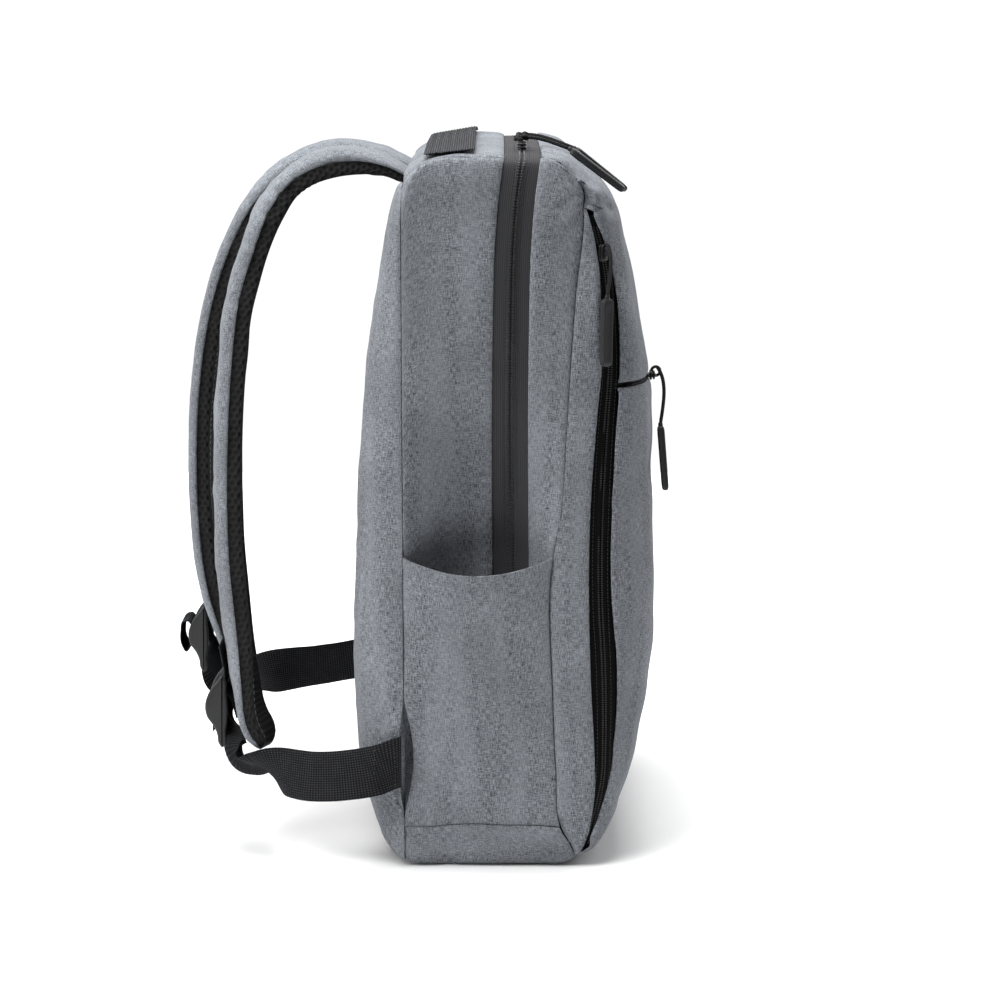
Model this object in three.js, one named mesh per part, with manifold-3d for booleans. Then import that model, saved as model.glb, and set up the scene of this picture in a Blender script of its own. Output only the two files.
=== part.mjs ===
// A slim fabric laptop backpack with padded shoulder straps, standing upright.
// Millimetres. +Z is up, -Y is the front of the bag, +Y is the side against the wearer's back,
// and -X is the wearer's left. The origin is the middle of the flat base.
import * as THREE from "three";
import { mergeVertices } from "three/addons/utils/BufferGeometryUtils.js";
import Module from "manifold-3d";

const wasm = await Module();
wasm.setup();

// Main sizes of the bag
const bagHeight = 433;
const bodyHalfWidth = 148;
const backReach = 82;
const frontReach = 101;

// Cloth, foam and clearances
const panelThickness = 2.4;
const backPadThickness = 5;
const frontPadThickness = 6;
const floorThickness = 8;
const tapeThickness = 1.2;
const webbingThickness = 1.4;
const pocketCloth = 1.8;
const fitGap = 0.3;

// Seams and corners of the body
const rearSeam = 50;
const floorInset = 8;
const frontPadFoot = 0.0924;
const frontPadHead = 0.889;
const baseSeamHeight = 26;
const topSeamInset = 9;
const backPanelHalfWidth = 112;
const rearCornerWidth = 42;
const frontCornerWidth = 55;
const frontCornerStart = 62;
const smallestCorner = 8;
const widestCornerShare = 0.7;
const topBlockShare = 0.88;

// Zips
const zipOpening = 21;
const zipTapeTuck = 4;
const coilWidth = 5;
const frontZipReach = 70;
const mainZipEnd = 160;
const frontZipHeight = 293;
const frontZipOpening = 3;

// Side pockets, and the hollow that their filling has pressed into the side wall
const pocketRimHeight = 191;
const pocketRimDip = 9;
const pocketBulge = 9;
const hollowDepth = 27;
const tuckFade = 24;

// Shoulder straps and their webbing
const strapWidth = 62;
const strapPadThickness = 8.7;
const strapMeshThickness = 4;
const strapTopDrop = 11.5;
const strapTop = bagHeight - strapTopDrop;
const strapReachLeft = 112.3;
const strapReachRight = 142.3;
const strapTopSpread = 48;
const strapEndSpread = 103;
const webbingWidth = 30;
const wingHeight = 68;
const webbingSag = 16;
const wingReach = 17;
const wingRise = 38;
const wingThickness = 2.4;
const wingStandOff = 1.5;
const wingRootDepth = 4;

// Ladder-lock buckles
const buckleHeight = 89;
const buckleOffLeft = 9.7;
const buckleOffRight = 11.8;
const buckleSpreadShare = 0.9;
const buckleHalfLength = 22.5;
const buckleDepth = 9.5;
const bucklePlate = 3.5;
const buckleBarRadius = 2.2;
const anchorReach = 24;

// Grab handle on the top
const handleWidth = 30;
const handleSetBack = 22;
const handleRise = 3.5;
const handleTilt = 0.75;
const handleFoot = 5;

// Zip sliders and their cord pulls
const sliderLength = 10;
const sliderWidth = 5.6;
const sliderHeight = 4;
const pullCordDiameter = 2.2;
const pullTabLength = 40;
const pullTabWidth = 7.5;
const pullTabThickness = 4.4;
const pullReach = 30;
const pullCordStart = 5;
const pullCordDip = 1.1;
const sidePullDrop = 26;
const sideTabDrop = 26;

// Colours and finishes
const cloth = new THREE.MeshStandardMaterial({ color: 0x7d8187, roughness: 0.92, metalness: 0 });
const mesh = new THREE.MeshStandardMaterial({ color: 0x141416, roughness: 0.95, metalness: 0 });
const webbing = new THREE.MeshStandardMaterial({ color: 0x222225, roughness: 0.85, metalness: 0 });
const zipTape = new THREE.MeshStandardMaterial({ color: 0x17171a, roughness: 0.6, metalness: 0 });
const plastic = new THREE.MeshStandardMaterial({ color: 0x1c1c1f, roughness: 0.45, metalness: 0 });
const rubber = new THREE.MeshStandardMaterial({ color: 0x232325, roughness: 0.6, metalness: 0 });

const bag = new THREE.Group();

// Turns rows of numbers into rows with named columns.
function table(columns, rows) {
  return rows.map((row) => Object.fromEntries(columns.map((name, i) => [name, row[i]])));
}

// Reads a column at a value of the rows' key, in a straight line between two rows.
function read(rows, key, value, column) {
  if (value <= rows[0][key]) return rows[0][column];
  for (let i = 1; i < rows.length; i += 1) {
    const [low, high] = [rows[i - 1], rows[i]];
    if (value <= high[key]) {
      const share = (value - low[key]) / (high[key] - low[key]);
      return low[column] + share * (high[column] - low[column]);
    }
  }
  return rows[rows.length - 1][column];
}

// Horizontal sections of the body. Height is a share of bagHeight, back of backReach,
// front of frontReach and width of bodyHalfWidth.
const bodySections = table(
  ["height", "back", "front", "width"],
  [
    [0, 0.56, 0.475, 0.94],
    [0.007, 0.67, 0.545, 0.968],
    [0.018, 0.77, 0.634, 0.983],
    [0.044, 0.835, 0.762, 0.992],
    [0.074, 0.878, 0.832, 0.996],
    [0.132, 0.949, 0.901, 1],
    [0.194, 0.983, 0.939, 1],
    [0.346, 1, 1, 1],
    [0.439, 0.983, 0.99, 1],
    [0.628, 0.92, 0.977, 1],
    [0.702, 0.884, 0.96, 1],
    [0.757, 0.854, 0.911, 1],
    [0.868, 0.748, 0.812, 0.996],
    [0.915, 0.689, 0.757, 0.992],
    [0.935, 0.662, 0.698, 0.988],
    [0.966, 0.58, 0.556, 0.975],
    [0.9805, 0.455, 0.49, 0.957],
    [0.987, 0.32, 0.43, 0.915],
    [0.9915, 0.22, 0.365, 0.73],
    [0.9965, 0.13, 0.25, 0.44],
    [1, 0.04, 0.09, 0.12],
  ],
);

// Seams seen from the side. Height is a share of bagHeight, ahead a share of frontReach.
const frontSeamRows = table(
  ["height", "ahead"],
  [
    [0, 0.495],
    [0.012, 0.515],
    [0.06, 0.432],
    [0.139, 0.406],
    [0.24, 0.388],
    [0.439, 0.386],
    [0.494, 0.425],
    [0.605, 0.458],
    [0.797, 0.51],
    [0.917, 0.554],
    [0.947, 0.545],
    [0.97, 0.465],
    [0.988, 0.307],
  ],
);
const stripEdgeRows = table(
  ["height", "ahead"],
  [
    [0.009, 0.527],
    [0.032, 0.579],
    [0.069, 0.619],
    [0.106, 0.642],
    [0.162, 0.637],
    [0.254, 0.614],
    [0.545, 0.611],
    [0.635, 0.641],
    [0.714, 0.67],
    [0.767, 0.663],
    [0.852, 0.641],
    [0.889, 0.604],
    [0.917, 0.569],
  ],
);
const frontPanelEdgeRows = table(
  ["height", "ahead"],
  [
    [0.009, 0.535],
    [0.032, 0.589],
    [0.069, 0.668],
    [0.106, 0.723],
    [0.129, 0.752],
    [0.178, 0.771],
    [0.254, 0.782],
    [0.3, 0.773],
    [0.36, 0.746],
    [0.575, 0.75],
    [0.714, 0.78],
    [0.78, 0.772],
    [0.859, 0.712],
    [0.889, 0.653],
    [0.917, 0.584],
  ],
);
const zipLineRows = table(
  ["height", "ahead"],
  [
    [0.346, 0.129],
    [0.716, 0.135],
    [0.88, 0.153],
    [0.924, 0.168],
    [0.986, 0.203],
  ],
);

const topBlockFloor = topBlockShare * bagHeight;
const seamAt = (rows, z) => frontReach * read(rows, "height", z / bagHeight, "ahead");
const heightsOf = (rows) => rows.map((row) => row.height * bagHeight);
const backAt = (z) => backReach * read(bodySections, "height", z / bagHeight, "back");
const frontAt = (z) => frontReach * read(bodySections, "height", z / bagHeight, "front");
const halfWidthAt = (z) => bodyHalfWidth * read(bodySections, "height", z / bagHeight, "width");

// How far the side wall lies inside the pocket's own line, so that the pocket covers it flush.
function tuckAt(z) {
  const above = THREE.MathUtils.clamp((z - pocketRimHeight - fitGap) / tuckFade, 0, 1);
  return (pocketCloth + fitGap) * (1 - above);
}

// The hollow in the side wall: across it runs from seam to seam, and up it is deepest at the rim.
function hollowAt(y, z) {
  const rows = table(
    ["height", "depth"],
    [
      [0.15, 0],
      [0.45, 0.42],
      [0.8, 0.86],
      [1, 1],
      [1.16, 0.82],
      [1.36, 0.4],
      [1.62, 0],
    ],
  );
  const middle = (rearSeam - seamAt(frontSeamRows, z)) / 2;
  const half = (rearSeam + seamAt(frontSeamRows, z)) / 2;
  const across = Math.max(0, 1 - ((y - middle) / half) ** 2);
  return hollowDepth * across ** 1.3 * read(rows, "height", z / pocketRimHeight, "depth");
}

// The sizes of a section: its reaches, and the depth and width of its elliptical corners.
function sectionAt(z) {
  const [back, front, width] = [backAt(z), frontAt(z), halfWidthAt(z)];
  const slim = (corner, reach) => Math.min(corner, widestCornerShare * reach);
  return {
    width,
    back,
    front,
    rear: slim(Math.max(smallestCorner, back - rearSeam), back),
    fore: slim(Math.max(smallestCorner, front - frontCornerStart), front),
    rearWidth: slim(rearCornerWidth, width),
    frontWidth: slim(frontCornerWidth, width),
  };
}

// Half of a section, from the middle of the back round the left side to the middle of the front.
const faceSteps = 1;
const cornerSteps = 4;
const sideSteps = 6;
function halfSection(z, hollowSide) {
  const { width, back, front, rear, fore, rearWidth, frontWidth } = sectionAt(z);
  const points = [];
  for (let i = 0; i < faceSteps; i += 1) {
    points.push([-((width - rearWidth) * i) / faceSteps, back]);
  }
  for (let i = 0; i < cornerSteps; i += 1) {
    const turn = (Math.PI / 2) * (i / cornerSteps);
    points.push([
      -(width - rearWidth + rearWidth * Math.sin(turn)),
      back - rear + rear * Math.cos(turn),
    ]);
  }
  for (let i = 0; i <= sideSteps; i += 1) {
    const y = back - rear - ((back + front - rear - fore) * i) / sideSteps;
    const inset = hollowSide ? tuckAt(z) + hollowAt(y, z) : 0;
    points.push([-(width - inset), y]);
  }
  for (let i = 1; i <= cornerSteps; i += 1) {
    const turn = (Math.PI / 2) * (i / cornerSteps);
    points.push([
      -(width - frontWidth + frontWidth * Math.cos(turn)),
      -(front - fore + fore * Math.sin(turn)),
    ]);
  }
  for (let i = 1; i <= faceSteps; i += 1) {
    points.push([-(width - frontWidth) * (1 - i / faceSteps), -front]);
  }
  return points;
}

// The height of the top's surface above a point, found by halving.
function topHeightAt(x, y) {
  const covers = (z) => {
    const section = sectionAt(z);
    const [reach, corner, wide] =
      y > 0
        ? [section.back, section.rear, section.rearWidth]
        : [section.front, section.fore, section.frontWidth];
    const past = (Math.abs(x) - section.width + wide) / wide;
    if (past > 1) return false;
    const turned = corner * Math.sqrt(1 - Math.max(0, past) ** 2);
    return Math.abs(y) <= reach - corner + turned;
  };
  let [low, high] = [topBlockFloor, bagHeight];
  for (let i = 0; i < 20; i += 1) {
    const middle = (low + high) / 2;
    if (covers(middle)) low = middle;
    else high = middle;
  }
  return low;
}

function bodyRings(hollowSide) {
  return heightsOf(bodySections).map((z) => {
    const left = halfSection(z, hollowSide);
    const right = left.slice(1, -1).reverse().map(([x, y]) => [-x, y]);
    return [...left, ...right].map(([x, y]) => new THREE.Vector3(x, y, z));
  });
}

// Moves every ring inwards along the surface's own direction. The first and last stay level.
function insetRings(rings, inset) {
  const last = rings.length - 1;
  return rings.map((ring, i) =>
    ring.map((point, j) => {
      const along = ring[(j + 1) % ring.length].clone().sub(ring.at(j - 1));
      const level = i === 0 || i === last;
      const up = level
        ? new THREE.Vector3(0, 0, 1)
        : rings[i + 1][j].clone().sub(rings[i - 1][j]);
      const outward = along.cross(up).normalize();
      const moved = point.clone().addScaledVector(outward, -inset);
      if (level) moved.z = i === 0 ? inset : bagHeight - inset;
      return moved;
    }),
  );
}

// A closed geometry through rings of equal count, with a fan on each end.
function loft(rings) {
  const count = rings[0].length;
  const points = rings.flat();
  const faces = [];
  for (let i = 0; i + 1 < rings.length; i += 1) {
    for (let j = 0; j < count; j += 1) {
      const [a, b] = [i * count + j, i * count + ((j + 1) % count)];
      faces.push(a, b, b + count, a, b + count, a + count);
    }
  }
  for (const [ring, first, turned] of [
    [rings[0], 0, true],
    [rings.at(-1), (rings.length - 1) * count, false],
  ]) {
    const centre = points.length;
    points.push(ring.reduce((sum, p) => sum.add(p), new THREE.Vector3()).divideScalar(count));
    for (let j = 0; j < count; j += 1) {
      const [a, b] = [first + j, first + ((j + 1) % count)];
      faces.push(centre, ...(turned ? [b, a] : [a, b]));
    }
  }
  return facingOut(points, faces);
}

function facingOut(points, faces) {
  let volume = 0;
  for (let i = 0; i < faces.length; i += 3) {
    const [a, b, c] = [points[faces[i]], points[faces[i + 1]], points[faces[i + 2]]];
    volume += a.dot(b.clone().cross(c));
  }
  const index = volume < 0 ? [...faces].reverse() : faces;
  const geometry = new THREE.BufferGeometry().setFromPoints(points);
  geometry.setIndex(index);
  return geometry;
}

function solid(geometry) {
  const bare = geometry.clone();
  bare.deleteAttribute("normal");
  bare.deleteAttribute("uv");
  const merged = mergeVertices(bare, 1e-4);
  return new wasm.Manifold(
    new wasm.Mesh({
      numProp: 3,
      vertProperties: new Float32Array(merged.attributes.position.array),
      triVerts: new Uint32Array(merged.index.array),
    }),
  );
}

function add(name, shape, material) {
  const piece = shape instanceof THREE.BufferGeometry ? solid(shape) : shape;
  const result = piece.getMesh();
  const geometry = new THREE.BufferGeometry();
  geometry.setAttribute("position", new THREE.BufferAttribute(result.vertProperties, 3));
  geometry.setIndex(new THREE.BufferAttribute(result.triVerts, 1));
  const named = new THREE.Mesh(geometry, material);
  named.name = name;
  bag.add(named);
}

// A side view outline of [y, z] points, pushed through the bag from low x to high x.
function slab(outline, low, high) {
  const shape = new THREE.Shape(outline.map(([y, z]) => new THREE.Vector2(y, z)));
  const geometry = new THREE.ExtrudeGeometry(shape, { depth: high - low, bevelEnabled: false });
  const turn = new THREE.Matrix4().makeBasis(
    new THREE.Vector3(0, 1, 0),
    new THREE.Vector3(0, 0, 1),
    new THREE.Vector3(1, 0, 0),
  );
  geometry.applyMatrix4(turn);
  geometry.translate(low, 0, 0);
  return solid(geometry);
}

function block(x, y, z) {
  const size = new THREE.Vector3(x[1] - x[0], y[1] - y[0], z[1] - z[0]);
  const box = new THREE.BoxGeometry(size.x, size.y, size.z);
  return solid(box.translate((x[0] + x[1]) / 2, (y[0] + y[1]) / 2, (z[0] + z[1]) / 2));
}

const outside = 1000;
const halfGap = fitGap / 2;
const plainRings = bodyRings(false);
const hollowRings = bodyRings(true);
const bodyInset = (inset) => solid(loft(insetRings(plainRings, inset)));
const hollowInset = (inset) => solid(loft(insetRings(hollowRings, inset)));
const layer = (inset, thickness) => bodyInset(inset).subtract(bodyInset(inset + thickness));
const hollowLayer = (inset, thickness) =>
  hollowInset(inset).subtract(hollowInset(inset + thickness));
const bodyWithClearance = bodyInset(-fitGap);
const shell = layer(0, panelThickness);
const tapeInset = panelThickness + fitGap;

// The points of a seam between two heights, each moved ahead by the same distance.
function seamLine(rows, low, high, ahead = 0) {
  const inside = heightsOf(rows).filter((z) => z > low && z < high);
  return [low, ...inside, high].map((z) => [-(seamAt(rows, z) + ahead), z]);
}

// The outline between a rear line and a front line, both running upwards.
const between = (rear, front) => [...rear, ...front.toReversed()];

const pastEnds = 20;
const belowBag = -pastEnds;
const aboveBag = bagHeight + pastEnds;
const frontSeamTop = frontSeamRows.at(-1).height * bagHeight;
const middleBand = between(
  [
    [rearSeam - halfGap, belowBag],
    [rearSeam - halfGap, aboveBag],
  ],
  [
    [-seamAt(frontSeamRows, 0) + halfGap, belowBag],
    ...seamLine(frontSeamRows, 0, frontSeamTop, -halfGap),
    [-seamAt(frontSeamRows, bagHeight) + halfGap, aboveBag],
  ],
);
const topSeam = bodyHalfWidth - topSeamInset;
const topBlock = (grow) =>
  block(
    [-topSeam - grow, topSeam + grow],
    [-outside, outside],
    [topBlockFloor, aboveBag],
  );
const leftHalf = (solidShape) =>
  solidShape.intersect(block([-outside, -halfGap], [-outside, outside], [-outside, outside]));
const rightHalf = (solidShape) =>
  solidShape.intersect(block([halfGap, outside], [-outside, outside], [-outside, outside]));
const aboveHeight = (solidShape, z) =>
  solidShape.intersect(block([-outside, outside], [-outside, outside], [z, outside]));

function addPair(name, whole, material) {
  add(name + "_left", leftHalf(whole), material);
  add(name + "_right", rightHalf(whole), material);
}

function zipBand(low, spread) {
  const half = zipOpening / 2 + spread;
  const rows = [[0, low], ...seamLine(zipLineRows, low, bagHeight)];
  const line = [...rows.slice(1), [-seamAt(zipLineRows, bagHeight), aboveBag]];
  return between(
    line.map(([y, z]) => [y + half, z]),
    line.map(([y, z]) => [y - half, z]),
  );
}

function buildBack() {
  const behind = slab(
    [
      [rearSeam + halfGap, belowBag],
      [outside, belowBag],
      [outside, aboveBag],
      [rearSeam + halfGap, aboveBag],
    ],
    -outside,
    outside,
  );
  const panelSpan = block(
    [-backPanelHalfWidth, backPanelHalfWidth],
    [-outside, outside],
    [-outside, outside],
  );
  const cornerSpan = block(
    [backPanelHalfWidth + fitGap, outside],
    [-outside, outside],
    [-outside, outside],
  );
  const otherSpan = block(
    [-outside, -backPanelHalfWidth - fitGap],
    [-outside, outside],
    [-outside, outside],
  );
  const corners = cornerSpan.add(otherSpan);
  add("back_panel", layer(0, backPadThickness).intersect(behind).intersect(panelSpan), mesh);
  addPair("rear_gusset", shell.intersect(behind).intersect(corners), cloth);
}

function buildMiddle() {
  const zipCut = slab(zipBand(mainZipEnd, 0), -outside, outside);
  const whole = shell.intersect(band);
  const baseCut = block(
    [-outside, outside],
    [-outside, outside],
    [belowBag, baseSeamHeight - halfGap],
  );
  const floorSpan = block(
    [-backPanelHalfWidth, backPanelHalfWidth],
    [floorInset - rearSeam, rearSeam - floorInset],
    [belowBag, floorThickness + fitGap],
  );
  const floor = layer(panelThickness / 2, floorThickness - panelThickness / 2);
  add("base_panel", whole.intersect(baseCut).add(floor.intersect(floorSpan)), cloth);
  const rearOfZip = [
    ...seamLine(zipLineRows, topBlockFloor, aboveBag, -zipOpening / 2),
    [outside, aboveBag],
    [outside, topBlockFloor],
  ];
  const top = topBlock(-halfGap).intersect(slab(rearOfZip, -outside, outside));
  add("top_panel", whole.intersect(top), cloth);
  const walls = aboveHeight(hollowLayer(0, panelThickness), baseSeamHeight + halfGap)
    .intersect(band)
    .subtract(topBlock(halfGap))
    .subtract(zipCut);
  addPair("side_panel", walls, cloth);
  const tape = hollowLayer(tapeInset, tapeThickness).intersect(
    slab(zipBand(mainZipEnd - zipTapeTuck, zipTapeTuck), -outside, outside),
  );
  const coil = hollowLayer(panelThickness / 2, panelThickness / 2 + 2 * fitGap).intersect(
    slab(zipBand(mainZipEnd + fitGap, (coilWidth - zipOpening) / 2), -outside, outside),
  );
  add("main_zip", tape.add(coil), zipTape);
}

// The part of a side view outline that lies on the corners, not across the front.
function onCorners(outline, grow = 0) {
  const start = frontZipReach - grow;
  return slab(outline, -outside, -start).add(slab(outline, start, outside));
}

// The padding behind the front cloth, clear of every zip tape.
function frontPad(low, high) {
  const edge = seamLine(frontPanelEdgeRows, low, high, zipTapeTuck + 4 * fitGap);
  const zone = slab([[-outside, low], ...edge, [-outside, high]], -outside, outside);
  return layer(panelThickness / 2, frontPadThickness - panelThickness / 2).intersect(zone);
}

function buildFront() {
  const low = stripEdgeRows[0].height * bagHeight;
  const high = stripEdgeRows.at(-1).height * bagHeight;
  const zipSpace = between(
    seamLine(frontSeamRows, low - fitGap, high + fitGap, -fitGap),
    seamLine(frontPanelEdgeRows, low - fitGap, high + fitGap),
  );
  const zipCut = onCorners(zipSpace, fitGap);
  const strip = between(
    seamLine(frontSeamRows, low, high, halfGap),
    seamLine(stripEdgeRows, low, high),
  );
  addPair("front_strip", shell.intersect(onCorners(strip)), cloth);

  const tapeBand = between(
    seamLine(stripEdgeRows, low + zipTapeTuck, high - zipTapeTuck, -zipTapeTuck),
    seamLine(frontPanelEdgeRows, low + zipTapeTuck, high - zipTapeTuck, zipTapeTuck),
  );
  addPair("pocket_zip", layer(tapeInset, tapeThickness).intersect(onCorners(tapeBand)), zipTape);

  const slot = frontZipOpening / 2;
  const clearOfTape = slot + zipTapeTuck + 2 * fitGap;
  const upper = [
    [-outside, frontZipHeight + slot],
    ...seamLine(frontSeamRows, frontZipHeight + slot, frontSeamTop, halfGap),
    [-seamAt(zipLineRows, bagHeight) - zipOpening / 2, frontSeamTop + fitGap],
    [-seamAt(zipLineRows, bagHeight) - zipOpening / 2, aboveBag],
    [-outside, aboveBag],
  ];
  const aheadOfZip = [
    [-outside, topBlockFloor],
    ...seamLine(zipLineRows, topBlockFloor, aboveBag, zipOpening / 2),
    [-outside, aboveBag],
  ];
  const crown = topBlock(-halfGap).intersect(slab(aheadOfZip, -outside, outside));
  const upperZone = slab(upper, -outside, outside).add(crown).subtract(zipCut);
  const upperPad = frontPad(frontZipHeight + clearOfTape, frontPadHead * bagHeight);
  add("front_upper_panel", shell.intersect(upperZone).add(upperPad), cloth);

  const lower = [
    [-outside, belowBag],
    [-seamAt(frontSeamRows, 0) - halfGap, belowBag],
    ...seamLine(frontSeamRows, 0, frontZipHeight - slot, halfGap),
    [-outside, frontZipHeight - slot],
  ];
  const lowerZone = slab(lower, -outside, outside).subtract(zipCut);
  const lowerPad = frontPad(frontPadFoot * bagHeight, frontZipHeight - clearOfTape);
  add("front_lower_panel", shell.intersect(lowerZone).add(lowerPad), cloth);

  const reach = seamAt(frontPanelEdgeRows, frontZipHeight) + zipTapeTuck + 2 * fitGap;
  const frontTape = block(
    [-outside, outside],
    [-outside, -reach],
    [frontZipHeight - slot - zipTapeTuck, frontZipHeight + slot + zipTapeTuck],
  );
  add("front_zip", layer(tapeInset, tapeThickness).intersect(frontTape), zipTape);
}

// The pocket is a curved cloth from seam to seam, flush with the cloth round it and full at the rim.
function pocketRings(side) {
  const across = 10;
  const rise = [0, 0.3, 0.55, 0.8, 1];
  const face = (u, v, inner) => {
    const rim = pocketRimHeight - pocketRimDip * (1 - (2 * u - 1) ** 2);
    const z = baseSeamHeight + halfGap + v * (rim - baseSeamHeight - halfGap);
    const y = rearSeam - u * (rearSeam + seamAt(frontSeamRows, z) + fitGap);
    const bulge = pocketBulge * (1 - (2 * u - 1) ** 2) * v ** 1.5;
    const x = halfWidthAt(z) + bulge - (inner ? pocketCloth : 0);
    return new THREE.Vector3(side * x, y, z);
  };
  const rings = [];
  for (let i = 0; i <= across; i += 1) {
    const outer = rise.map((v) => face(i / across, v, false));
    const inner = rise.toReversed().map((v) => face(i / across, v, true));
    rings.push([...outer, ...inner]);
  }
  return rings;
}

// Rings of a section that follows a path. The section's points are [across, out], in millimetres.
// Each stop holds a place, the direction of the section's width, and its two sizes' shares.
function sweep(stops, section) {
  return stops.map(({ place, wide, width = 1, thick = 1 }, i) => {
    const before = stops[Math.max(i - 1, 0)].place;
    const after = stops[Math.min(i + 1, stops.length - 1)].place;
    const along = after.clone().sub(before).normalize();
    const across = wide.clone().addScaledVector(along, -wide.dot(along)).normalize();
    const out = across.clone().cross(along);
    return section.map(([a, b]) =>
      place.clone().addScaledVector(across, a * width).addScaledVector(out, b * thick),
    );
  });
}

const ribbonSection = (width, thickness) => [
  [-width / 2, -thickness / 2],
  [width / 2, -thickness / 2],
  [width / 2, thickness / 2],
  [-width / 2, thickness / 2],
];

// The straps' route from the top seam, over the shoulder and down. Height is a share of strapTop,
// left and right are shares of how far each strap stands behind the rear seam, and spread is the
// share of the way from strapTopSpread to strapEndSpread. Width and thick are the pad's own shares.
const strapRows = table(
  ["height", "left", "right", "spread", "width", "thick"],
  [
    [0.9715, -0.036, -0.028, 0, 0.97, 0.42],
    [0.987, 0.071, 0.07, 0, 0.98, 0.55],
    [0.999, 0.223, 0.211, 0, 1, 0.85],
    [1, 0.383, 0.358, 0.01, 1, 1],
    [0.988, 0.525, 0.485, 0.02, 1, 1],
    [0.966, 0.65, 0.59, 0.04, 1, 1],
    [0.925, 0.766, 0.703, 0.09, 1, 1],
    [0.866, 0.855, 0.801, 0.16, 1, 1],
    [0.795, 0.933, 0.882, 0.24, 1, 1],
    [0.712, 0.971, 0.942, 0.33, 1, 1],
    [0.622, 0.993, 0.98, 0.42, 1, 1],
    [0.534, 1, 0.998, 0.51, 1, 1],
    [0.427, 0.99, 1, 0.62, 1, 1],
    [0.332, 0.954, 0.98, 0.73, 1, 1],
    [0.247, 0.907, 0.932, 0.85, 0.99, 0.85],
    [0.19, 0.855, 0.882, 0.94, 0.93, 0.72],
    [0.162, 0.802, 0.843, 0.98, 0.78, 0.62],
    [0.15, 0.784, 0.829, 1, 0.55, 0.45],
  ],
);

const sides = [
  { name: "_left", side: -1, column: "left", reach: strapReachLeft, off: buckleOffLeft },
  { name: "_right", side: 1, column: "right", reach: strapReachRight, off: buckleOffRight },
];

function strapPlace(row, { side, column, reach }) {
  const spread = strapTopSpread + row.spread * (strapEndSpread - strapTopSpread);
  return new THREE.Vector3(side * spread, rearSeam + row[column] * reach, row.height * strapTop);
}

// Sections of the pad and of the mesh under it. Across is a share of half the strap's width, and
// rise a share of the layer's own thickness.
const padSection = [
  [-0.935, 0],
  [-1, 0.25],
  [-1, 0.6],
  [-0.871, 0.897],
  [-0.5, 0.989],
  [0.5, 0.989],
  [0.871, 0.897],
  [1, 0.6],
  [1, 0.25],
  [0.935, 0],
];
const liningSection = [
  [-0.935, 1],
  [-0.968, 0.405],
  [-0.871, 0],
  [0.871, 0],
  [0.968, 0.405],
  [0.935, 1],
];

function buildStrap(strap) {
  const half = strapWidth / 2;
  const out = (strapMeshThickness + strapPadThickness) / 2;
  const split = strapMeshThickness - out;
  const pad = padSection.map(([across, rise]) => [across * half, split + rise * strapPadThickness]);
  const lining = liningSection.map(([across, rise]) => [
    across * half,
    rise * (strapMeshThickness - fitGap) - out,
  ]);
  const stops = strapRows.map((row) => ({
    place: strapPlace(row, strap),
    wide: new THREE.Vector3(1, 0, 0),
    width: row.width,
    thick: row.thick,
  }));
  const cut = (section) => solid(loft(sweep(stops, section))).subtract(bodyWithClearance);
  add("shoulder_strap" + strap.name, cut(pad), cloth);
  add("strap_mesh" + strap.name, cut(lining), mesh);
}

// The outer face of a strap's lower part at a height, as the y of its middle.
function strapFaceAt(z, { column, reach }) {
  const lower = strapRows.slice(11).toReversed();
  const share = read(lower, "height", z / strapTop, column);
  const thick = read(lower, "height", z / strapTop, "thick");
  return rearSeam + share * reach + (thick * (strapMeshThickness + strapPadThickness)) / 2;
}

// A ladder lock seen from the side, from its middle: [back, up], as shares of buckleDepth and of
// buckleHalfLength.
const bucklePlateOutline = [
  [-0.158, 1],
  [0.211, 0.844],
  [0.737, 0.533],
  [1, 0.178],
  [0.895, -0.133],
  [0.474, -0.4],
  [0.263, -0.622],
  [0.158, -0.889],
  [-0.053, -1],
  [-0.263, -0.933],
  [-0.316, -0.533],
  [-0.421, -0.267],
  [-0.453, 0.178],
  [-0.4, 0.533],
  [-0.337, 0.889],
];
const topBar = [-0.126, 0.711];
const middleBar = [0.316, 0.178];
const lowBar = [0, -0.356];
const lipOutline = [
  [-0.158, -0.4],
  [0.179, -0.4],
  [0.084, -0.933],
  [-0.168, -0.933],
];

function buckleCentre(strap) {
  const spread = strapTopSpread + buckleSpreadShare * (strapEndSpread - strapTopSpread);
  return {
    x: strap.side * spread,
    y: strapFaceAt(buckleHeight, strap) + strap.off,
    z: buckleHeight,
  };
}

// Points of a buckle's side view, put in place as [y, z].
const inBuckle = (centre, points) =>
  points.map(([back, up]) => [centre.y + back * buckleDepth, centre.z + up * buckleHalfLength]);

function buildBuckle(strap) {
  const centre = buckleCentre(strap);
  const inner = webbingWidth / 2 + 2 * fitGap;
  const bite = 0.3 * bucklePlate;
  const placed = (outline) => inBuckle(centre, outline);
  const plate = (from, to) => slab(placed(bucklePlateOutline), centre.x + from, centre.x + to);
  const reach = inner + bucklePlate;
  let lock = plate(-reach, -inner).add(plate(inner, reach));
  const barLength = 2 * (inner + bite);
  for (const [y, z] of placed([topBar, middleBar, lowBar])) {
    const bar = new THREE.CylinderGeometry(buckleBarRadius, buckleBarRadius, barLength, 10);
    lock = lock.add(solid(bar.rotateZ(Math.PI / 2).translate(centre.x, y, z)));
  }
  lock = lock.add(slab(placed(lipOutline), centre.x - inner - bite, centre.x + inner + bite));
  add("buckle" + strap.name, lock, plastic);
}

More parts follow.
